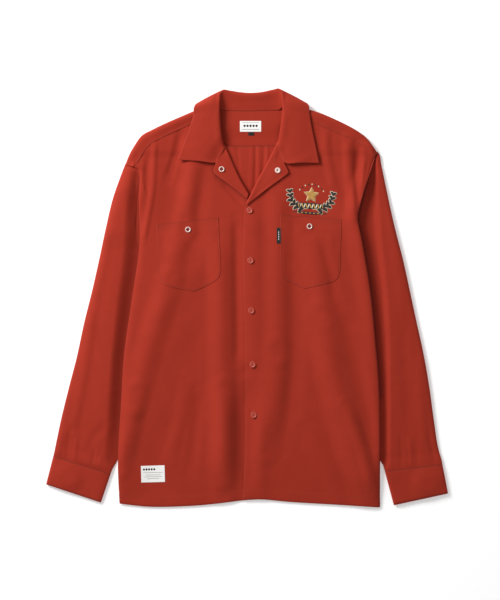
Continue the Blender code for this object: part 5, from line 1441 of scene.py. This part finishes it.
# ---------------------------------------------------------------- pockets, labels and tabs
def pocket_cloth(side, ground):
    """A patch pocket with a pointed foot, on the front's surface; its mouth stands a little open."""
    foot_points = POCKET_FOOT[side]
    halves = spline(foot_points[:4]), spline(foot_points[3:])       # they meet in the point
    foot = Line(np.vstack([halves[0], halves[1][1:]]), rounded=False)
    top = Line(POCKET_TOP[side], rounded=False)
    point_share = passed(halves[0])[-1] / foot.length
    across = graded(foot.length, 2.4, RIM[:6], RIM[:6])
    across[np.abs(across - point_share).argmin()] = point_share
    depth = np.linalg.norm(top.at(0.5) - foot.at(0.5))
    hem_lines = [POCKET_HEM + away for away in (-1.6, -0.8, 0.0, 0.8, 1.6)]
    along = graded(depth, 2.6, RIM[:6], (0.8, 1.6, 3.0, *hem_lines))
    plan = foot.at(across)[None] + (top.at(across) - foot.at(across))[None] * along[:, None, None]
    x, y = plan[..., 0], plan[..., 1]
    edge = distance_to(np.vstack([foot.points, top.points[::-1], foot.points[:1]]), x, y)
    from_top = distance_to(top.points, x, y)
    level = ground.height(x, y)
    stud_x, stud_y = SNAPS["snap_pocket_" + SIDE_NAME[side]]
    pressed = 1 - smoothstep(4, 26, np.hypot(x - stud_x, y - stud_y))
    level += ((level * pressed).sum() / pressed.sum() - level) * pressed     # flat under its press stud
    puff = 0.8 * smoothstep(2, 22, edge) * (0.3 + 0.7 * (1 - smoothstep(0, 70, from_top)))
    mouth = 0.28 * (1 - smoothstep(0, 9, from_top)) * smoothstep(4, 22, across * foot.length)
    cloth = Cloth(with_height(plan, level + TWILL / 2 + 0.12 + puff + mouth))
    hem = 1 - smoothstep(POCKET_HEM - 3, POCKET_HEM + 3, from_top)
    cloth.thick += 0.15 * np.maximum(hem, 1 - smoothstep(6, 9, edge))
    cloth.groove(edge, EDGE_STITCH)
    # painted shade along the pocket's mouth
    cloth.shade_edge(from_top, 0.9, 0.5)
    return cloth


def point_on(item, dx, dy):
    """Plan point of a label or ornament, dx and dy from its middle along its own sides."""
    angle = math.radians(item.turn)
    return (item.x + dx * math.cos(angle) - dy * math.sin(angle),
            item.y + dx * math.sin(angle) + dy * math.cos(angle))


def polar(centre, radius, angle):
    """Plan point at a distance and in a direction from another one."""
    return centre[0] + radius * math.cos(angle), centre[1] + radius * math.sin(angle)


def label_cloth(label, ground, step=1.5):
    """A label or tab, sewn flat on what lies under it."""
    u, v = (graded(side, step, (0.4,), (0.4,)) - 0.5 for side in (label.width, label.length))
    x, y = point_on(label, *np.meshgrid(u * (label.width - LABEL_INSET), v * (label.length - LABEL_INSET)))
    level = ground.height(x, y) + LABEL_CLOTH / 2 + 0.08
    return Cloth(with_height(np.stack([x, y], axis=-1), level), LABEL_CLOTH)


class Level:
    """A flat ground, for what is sewn on a button."""

    def __init__(self, z):
        self.z = z

    def height(self, x, _y):
        return np.full(np.shape(x), self.z)


class Satin:
    """Bands of satin stitch: closed pillows that follow the cloth beneath."""
    PROFILE = ((-1.0, -0.12), (-0.8, 0.22), (-0.4, 0.42), (0.0, 0.5), (0.4, 0.42), (0.8, 0.22), (1.0, -0.12))

    def __init__(self, ground):
        self.ground = ground
        self.verts, self.faces, self.uvs = [], [], []

    def band(self, points, widths, height=0.45, lift=0.0, step=0.9):
        """A band along a plan line; widths are its full width at even places along the line."""
        line = Line(spline(points, 6) if len(points) > 2 else points, rounded=False)
        count = max(6, round(line.length / step))
        share = np.linspace(0, 1, count)
        places = line.at(share)
        across = left_of(unit(np.gradient(places, axis=0)))
        half = np.maximum(np.interp(share, np.linspace(0, 1, len(widths)), widths) / 2, 0.05)
        padding = 2 * height * np.minimum(1, half / 0.7)        # a narrow band is also lower
        start = len(self.verts)
        ring = len(self.PROFILE)
        for offset, rise in self.PROFILE:
            xy = places + across * (half * offset)[:, None]
            level = self.ground.height(xy[:, 0], xy[:, 1]) + lift + rise * padding
            self.verts += np.column_stack([xy, level]).tolist()
        for k in range(ring):
            m = (k + 1) % ring
            for i in range(count - 1):
                a, b = start + k * count + i, start + m * count + i
                self.faces.append((a, a + 1, b + 1, b))
                v0, v1 = (s * line.length for s in share[i:i + 2])
                self.uvs.append(((k, v0), (k, v1), (k + 1, v1), (k + 1, v0)))
        for end, order in ((0, 1), (count - 1, -1)):
            cap = [start + k * count + end for k in range(ring)][::order]
            self.faces.append(tuple(cap))
            self.uvs.append(tuple((k, 0) for k in range(ring)))

    def piece(self, name, material):
        """All bands as one object."""
        uvs = np.concatenate([np.array(uv, float) for uv in self.uvs])
        obj = mesh_object(name, self.verts, self.faces, material, uvs)
        face_outwards(obj.data)
        return obj


def leaf_pair(centre, heading, spread, length, width):
    """Plan lines of two leaves that part from a stem, with their widths."""
    leaves = []
    for turn in (-spread, spread):
        tip = polar(centre, length, heading + turn)
        middle = polar(centre, 0.55 * length, heading + turn * 0.45)
        leaves.append(([centre, middle, tip], (0.3, width, width * 0.9, 0.2)))
    return leaves


# The ornament on the chest: a star between two leafy sprigs, over a plaited band and a bar, under a dotted
# arc. Its own u runs to the wearer's left and v up, in mm from its centre.
Ornament = namedtuple("Ornament", "x y turn")
EMBROIDERY = Ornament(119.5, 185.0, -4)
STEM = ((4, -19), (20, -18), (35, -7), (40, 9))
LEAF_PAIRS = 6
STAR_POINTS, STAR_RADIUS = 5, 15.0
STAR_ARM = 0.62 * STAR_RADIUS
ARC_DOTS, ARC_RADIUS = 9, 27.0
LIFT = 0.3              # of a band that is stitched over another, mm


def embroider(ground):
    """The ornament's three threads, each with its material, by the name of its piece."""
    black, cream, gold = Satin(ground), Satin(ground), Satin(ground)

    def stitch(silk, places, *how, **more):
        """A band through places of the ornament."""
        silk.band([point_on(EMBROIDERY, u, v) for u, v in places], *how, **more)

    for side in (-1, 1):
        stem = Line([point_on(EMBROIDERY, side * u, v) for u, v in STEM])
        cream.band(stem.at(np.linspace(0, 1, 7)), (1.2, 2.6, 2.6, 2.2, 1.0), 0.35)
        gold.band(stem.at(np.linspace(0.02, 0.98, 7)), (0.6, 1.2, 1.2, 1.0, 0.5), 0.4, 0.28)
        for k, share in enumerate(np.linspace(0.16, 0.98, LEAF_PAIRS)):
            ahead = stem.at(min(1.0, share + 0.02)) - stem.at(max(0, share - 0.02))
            heading = math.atan2(ahead[1], ahead[0])
            for points, widths in leaf_pair(stem.at(share), heading, 0.82, 13.5 - 0.8 * k, 6.2 - 0.3 * k):
                cream.band(points, [w + 2.0 for w in widths], 0.3)
                black.band(points, widths, 0.45, 0.26)
    star = point_on(EMBROIDERY, 0, 7)
    for k in range(STAR_POINTS):
        angle = math.radians(EMBROIDERY.turn) + math.pi / 2 + k * 2 * math.pi / STAR_POINTS
        arm = [star, polar(star, STAR_RADIUS, angle)]
        cream.band(arm, (1.0, STAR_ARM + 1.8, STAR_ARM * 0.5 + 1.6, 0.6), 0.35)
        gold.band(arm, (0.6, STAR_ARM, STAR_ARM * 0.45, 0.2), 0.5, LIFT)
    # a plaited band under the star, on a dark ground
    stitch(black, ((-25, -13.5), (25, -13.5)), (11.0, 12.5, 11.0), 0.3)
    for k in range(-6, 7):
        tilt = 1.1 if k % 2 else -1.1
        strands = ((3.7 * k - tilt, -17.4), (3.7 * k + tilt, -9.6))
        stitch(cream if k % 2 else gold, strands, (1.8, 2.7, 1.8), 0.4, LIFT)
    for k in range(ARC_DOTS):
        angle = math.radians(35 + k * 110 / (ARC_DOTS - 1))
        u, v = polar((0, 0), ARC_RADIUS, angle)
        stitch(black if k % 2 else cream, ((u - 1.1, v), (u + 1.1, v)), (2.2, 3.4, 2.2), 0.4, step=0.5)
    # a dark bar at the foot, with gold diamonds
    stitch(black, ((-32, -26), (0, -27), (32, -26)), (1.0, 5.4, 5.4, 1.0), 0.3)
    for k in range(-3, 4):
        stitch(gold, ((7.5 * k - 2.2, -26.8), (7.5 * k + 2.2, -26.8)), (0.3, 2.6, 0.3), 0.35, LIFT)
    return {"embroidery_black": (black, SILK_BLACK), "embroidery_cream": (cream, SILK_CREAM),
            "embroidery_gold": (gold, SILK_GOLD)}


# The marks of a white label: five diamonds in a row, and rules at heights dy with their half lengths.
Marks = namedtuple("Marks", "pitch shift row half wide rules rule_width rule_height")
LABEL_MARKS = {
    "neck_label": Marks(5.6, 0.0, 1.0, 2.6, 6.0, ((6.8, 16), (-5.6, 16)), 0.7, 0.12),
    "hem_label": Marks(4.8, -7.0, 8.8, 2.2, 5.6, ((2.6, 18), (-1.8, 14), (-5.2, 16), (-8.6, 11)), 0.8, 0.1),
}


def label_motifs(ground):
    """Diamonds and thin rules on the white labels, and dashes on the black tab."""
    dark, grey, white = Satin(ground), Satin(ground), Satin(ground)

    def mark(silk, name, dx, dy, half_x, half_y, *how, **more):
        """A short straight band about a place of a label."""
        ends = [point_on(LABELS[name], dx + way * half_x, dy + way * half_y) for way in (-1, 1)]
        silk.band(ends, *how, **more)

    for name, rule_silk in (("neck_label", dark), ("hem_label", grey)):
        marks = LABEL_MARKS[name]
        for k in range(-2, 3):
            mark(dark, name, marks.pitch * k + marks.shift, marks.row, marks.half, 0,
                 (0.4, marks.wide, 0.4), 0.16, step=0.5)
        for dy, reach in marks.rules:
            mark(rule_silk, name, 0, dy, reach, 0, (marks.rule_width, marks.rule_width), marks.rule_height)
    for dy in (-6.6, -2.2, 2.2, 6.6):
        mark(white, "side_tab", 0, dy, 0, 1.7, (0.3, 1.7, 0.3), 0.16, step=0.4)
    return {"label_marks_black": (dark, SILK_BLACK), "label_marks_grey": (grey, LABEL_GREY),
            "tab_marks_white": (white, LABEL_WHITE)}


# ---------------------------------------------------------------- buttons and press studs
def turned_grid(name, radius_height, segments, material, place, dent=None, upside_down=False):
    """A turned piece from a profile that runs from the middle of its top down to the middle of its foot."""
    angles = np.arange(segments) * 2 * math.pi / segments
    r, z = np.array(radius_height, float).T[..., None]
    x, y, z = r * np.cos(angles), r * np.sin(angles), z + 0 * angles
    if dent is not None:
        z = z - dent(x, y) * (z > 0)
    way = -1 if upside_down else 1
    verts = np.stack([x, way * y, way * z], axis=-1).reshape(-1, 3) + place
    rings = np.arange(len(verts)).reshape(-1, segments)
    faces = quads(np.concatenate([rings, rings[:, :1]], axis=1))[..., [0, 3, 2, 1]].reshape(-1, 4)
    obj = mesh_object(name, verts, faces, material, verts[faces][..., :2])
    face_outwards(obj.data, merge=0.002)
    return obj


def arc(x, z, radius, start, end, count):
    """Profile points on part of a circle, with its angles in degrees."""
    angles = np.radians(np.linspace(start, end, count))
    return list(zip(x + radius * np.cos(angles), z + radius * np.sin(angles)))


def cat_eye(x, y):
    """Depth of the long recess down a button's middle, with pointed ends."""
    half = EYE_WIDTH / 2 * np.maximum(0.0, 1 - (y / (EYE_LENGTH / 2 + 0.6)) ** 2)
    return EYE_DEPTH * (1 - smoothstep(0.55, 1.0, np.abs(x) / np.maximum(half, 0.05)))


def button(name, x, y, z, upside_down=False):
    """Shirt button: a raised round rim, a dished middle and a cat's eye recess for the thread."""
    floor = BUTTON_HEIGHT - BUTTON_DISH
    inner = BUTTON_RADIUS - BUTTON_RIM
    middle = [(r, floor) for r in np.linspace(0.0, inner - 0.3, 18)]
    rim = [(inner, floor + 0.08), (inner + 0.3, BUTTON_HEIGHT - 0.15),
           *arc(inner + 0.9, BUTTON_HEIGHT - 0.5, 0.5, 110, 60, 4)]
    side = arc(BUTTON_RADIUS - 0.6, BUTTON_HEIGHT - 0.7, 0.6, 70, -10, 5)
    foot = [(BUTTON_RADIUS - 0.5, 0.7), (BUTTON_RADIUS - 1.4, 0.1), (BUTTON_RADIUS - 2.0, 0.0), (0.0, 0.0)]
    return turned_grid(name, middle + rim + side + foot, 72, BUTTON_RED, (x, y, z), cat_eye, upside_down)


def press_stud(name, x, y, z, closed):
    """A press stud: a ring round its opening, or a closed cap with a small hole."""
    r, top = SNAP_RADIUS, SNAP_HEIGHT
    if closed:
        hole = CAP_HOLE
        profile = [(0.0, 0.5), (hole - 0.2, 0.5), (hole, 0.7), (hole + 0.3, 1.15),
                   *arc(r - 0.9, 0.4, 0.9, 80, 0, 6)]
    else:
        inner = STUD_OPENING
        profile = [(0.0, 0.35), (inner - 0.3, 0.35), (inner, 0.55), (inner + 0.2, top - 0.45),
                   *arc(inner + 0.75, top - 0.6, 0.6, 150, 60, 6), *arc(r - 0.8, 0.6, 0.8, 70, 0, 6)]
    profile += [(r, 0.0), (0.0, 0.0)]
    return turned_grid(name, profile, 56, STUD_WHITE, (x, y, z))


def stud_middle(name, x, y, z, closed):
    """The hole in a closed cap, or the cloth in a ring's opening, drawn up into a small pyramid; in the
    darker copy of the twill, as painted shade.
    """
    if closed:
        profile, corners = [(0.0, 0.75), (1.2, 0.72), (1.35, 0.1), (0.0, 0.1)], 24
    else:
        r = STUD_OPENING + 0.2
        profile = [(0.0, 0.95), (0.5, 0.9), (1.1, 0.62), (1.9, 0.42), (r, 0.38), (r, 0.05), (0.0, 0.05)]
        corners = 4
    return turned_grid(name, profile, corners, TWILL_PAINTED_SHADE, (x, y, z))


# ---------------------------------------------------------------- the shirt, piece by piece
def finish_piece(obj, slot, *nodes):
    """Every piece rides on the body and hides the nodes it replaces; slot, what it is made of, is not used.
    """
    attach(obj, BODY)
    if nodes:
        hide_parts(*nodes)


def cut_size(cloth):
    """Width, length and area in metres of a cloth laid out flat, measured over its middle."""
    mid = cloth.mid
    if cloth.ring:
        mid = np.concatenate([mid, mid[:, :1]], axis=1)
    ahead, over = np.diff(mid, axis=0), np.diff(mid, axis=1)
    area = np.linalg.norm(np.cross(ahead[:, :-1], over[:-1]), axis=-1).sum() / 2
    area += np.linalg.norm(np.cross(ahead[:, 1:], over[1:]), axis=-1).sum() / 2
    width = round(np.linalg.norm(over, axis=-1).sum(axis=1).max() * MM, 4)
    length = round(np.linalg.norm(ahead, axis=-1).sum(axis=0).max() * MM, 4)
    return width, length, min(area * MM * MM, width * length)


def cloth_piece(name, cloth):
    """A sheet of twill in place of the node of its name; the size it was cut to is worked out but not kept.
    """
    obj = cloth_object(name + "_cloth", cloth, TWILL_RED)
    finish_piece(obj, "twill", name)
    width, length, area = cut_size(cloth)


# the layers, from the lowest to the highest
ground = Ground()
back = back_cloth()
sleeves = {side: sleeve_cloth(side) for side in SIDES}
cuffs = {side: cuff_cloth(side) for side in SIDES}
for layer in (back, *sleeves.values()):
    ground.lay(layer)
fronts = {side: front_cloth(side, ground) for side in SIDES}
for layer in fronts.values():
    ground.lay(layer)
yoke = yoke_cloth(ground)
ground.lay(yoke)
ground.lay(yoke, side=1)
pockets = {side: pocket_cloth(side, ground) for side in SIDES}
lapels = {side: lapel_cloth(side, ground) for side in SIDES}
for layer in (*pockets.values(), *lapels.values()):
    ground.lay(layer)
collar = collar_cloth()
ground.lay(collar)

# rows of topstitching, from each cloth's own edges
seams = Seams()
seams.sew(yoke.line_at("row1", EDGE_STITCH, (6, 6)))
for side in SIDES:
    seams.sew(fronts[side].line_at("row0", HEM_STITCH, (4, 2)))
    for edge in ("row0", "row1"):
        seams.sew(cuffs[side].line_at(edge, EDGE_STITCH))
    for edge in ("col0", "row0", "col1"):
        seams.sew(pockets[side].line_at(edge, EDGE_STITCH, (1, 1)))

cloth_piece("back", back)
for side in SIDES:
    front = "front_" + SIDE_NAME[side]
    for name, cloths, rests_on in (("sleeve_", sleeves, []), ("cuff_", cuffs, []),
                                   ("front_", fronts, ["back"]), ("pocket_", pockets, [front]),
                                   ("lapel_", lapels, [front])):
        cloth_piece(name + SIDE_NAME[side], cloths[side])
cloth_piece("yoke", yoke)
cloth_piece("collar", collar)

for name, material, slot in (("neck_label", LABEL_WHITE, "label"), ("hem_label", LABEL_WHITE, "label"),
                             ("size_tab", TAPE_BLACK, "tape"), ("side_tab", TAPE_BLACK, "tape")):
    label = label_cloth(LABELS[name], ground)
    ground.lay(label)
    finish_piece(cloth_object(name + "_cloth", label, material), slot, name)
for name, (satin, silk) in label_motifs(ground).items():
    finish_piece(satin.piece(name, silk), "label")
for name, (satin, silk) in embroider(ground).items():
    finish_piece(satin.piece(name, silk), "tape")


def seat(x, y, radius):
    """Level on which a small round piece rests, on what lies under a ring of twelve spots."""
    angles = np.arange(12) * math.pi / 6
    return ground.height(x + radius * np.cos(angles), y + radius * np.sin(angles)).max() + 0.05


button_thread, holes = Satin(ground), Satin(ground)
for number, (x, y) in enumerate(BUTTONS, start=1):
    for way in (-1, 1):         # what shows of the buttonhole above and below the button
        holes.band([(x, y + way * 4.5), (x, y + way * 8.6)], (1.5, 1.5, 1.3), 0.22)
    level = seat(x, y, 0.7 * BUTTON_RADIUS)
    finish_piece(button(f"button_{number}_turned", x, y, level), "button", f"button_{number}")
    button_thread.ground = Level(level + BUTTON_HEIGHT - BUTTON_DISH - 0.5)
    button_thread.band([(x, y - 1.9), (x, y + 1.9)], (0.9, 1.3, 0.9), 0.4)
finish_piece(holes.piece("buttonhole_ends", RED_THREAD), "twill")
finish_piece(button_thread.piece("button_thread", RED_THREAD), "twill")
for side in SIDES:
    x, y = button_under_cuff(side)
    name = "cuff_button_" + SIDE_NAME[side]
    finish_piece(button(name + "_turned", x, y, BUTTON_HEIGHT + REST_GAP, True), "button", name)
for name, (x, y) in SNAPS.items():
    level = seat(x, y, 0.7 * SNAP_RADIUS)
    closed = name == "snap_lapel_left"
    finish_piece(press_stud(name + "_ring", x, y, level, closed), "snap", name)
    finish_piece(stud_middle(name + "_middle", x, y, level, closed), "twill")
finish_piece(seams.stitches("topstitching", RED_THREAD), "twill")


# ---------------------------------------------------------------- stage, light and camera
PHOTO_CENTRE = (5.4, -3.9)      # the shirt's point in the middle of the photograph, mm
PHOTO_HEIGHT = 1122.0           # what the photograph's height spans on the floor, mm
CAMERA_HEIGHT = 4.0             # m
SENSOR = 36.0                   # width of the camera's sensor, mm
FLOOR_REACH = 6.0               # from the shirt to the floor's edges, m
FLOOR_LEVEL = -0.3              # just below the shirt, mm


def stage_floor():
    """Matt white paper over a light table: it stays white to its corners."""
    mesh = bpy.data.meshes.new("floor")
    corners = [(x * FLOOR_REACH, y * FLOOR_REACH, FLOOR_LEVEL * MM)
               for x, y in ((-1, -1), (1, -1), (1, 1), (-1, 1))]
    mesh.from_pydata(corners, [], [(0, 1, 2, 3)])
    floor = in_scene("floor", mesh)
    paper, _tree, _shader = new_material("white_backlit_paper", {
        "Base Color": srgb("#fafafa"), "Roughness": 0.9, "Emission Color": srgb("#ffffff"),
        "Emission Strength": 0.29})
    mesh.materials.append(paper)


def soft_light(name, azimuth, elevation, distance, size, power):
    """Square soft box aimed at the shirt, in degrees, m and W; azimuth is turned from +X."""
    data = bpy.data.lights.new(name, "AREA")
    data.shape, data.size, data.energy = "SQUARE", size, power
    lamp = in_scene(name, data)
    a, e = math.radians(azimuth), math.radians(elevation)
    lamp.location = Vector((math.cos(a) * math.cos(e), math.sin(a) * math.cos(e), math.sin(e))) * distance
    lamp.rotation_euler = (-lamp.location).to_track_quat("-Z", "Y").to_euler()


stage_floor()
soft_light("key", azimuth=139, elevation=31, distance=2.8, size=1.1, power=92.0)
world = bpy.data.worlds.new("studio")
world.use_nodes = True
set_inputs(world.node_tree, world.node_tree.nodes["Background"],
           {"Color": (1.0, 1.0, 1.0, 1.0), "Strength": 0.40})
bpy.context.scene.world = world
bpy.context.scene.view_settings.view_transform = "Standard"

camera = bpy.data.cameras.new("camera")
camera.sensor_width = SENSOR
camera.lens = SENSOR * CAMERA_HEIGHT / (PHOTO_HEIGHT * MM)
camera.clip_end = 20.0
eye = in_scene("camera", camera)
eye.location = (PHOTO_CENTRE[0] * MM, PHOTO_CENTRE[1] * MM, CAMERA_HEIGHT)
bpy.context.scene.camera = eye
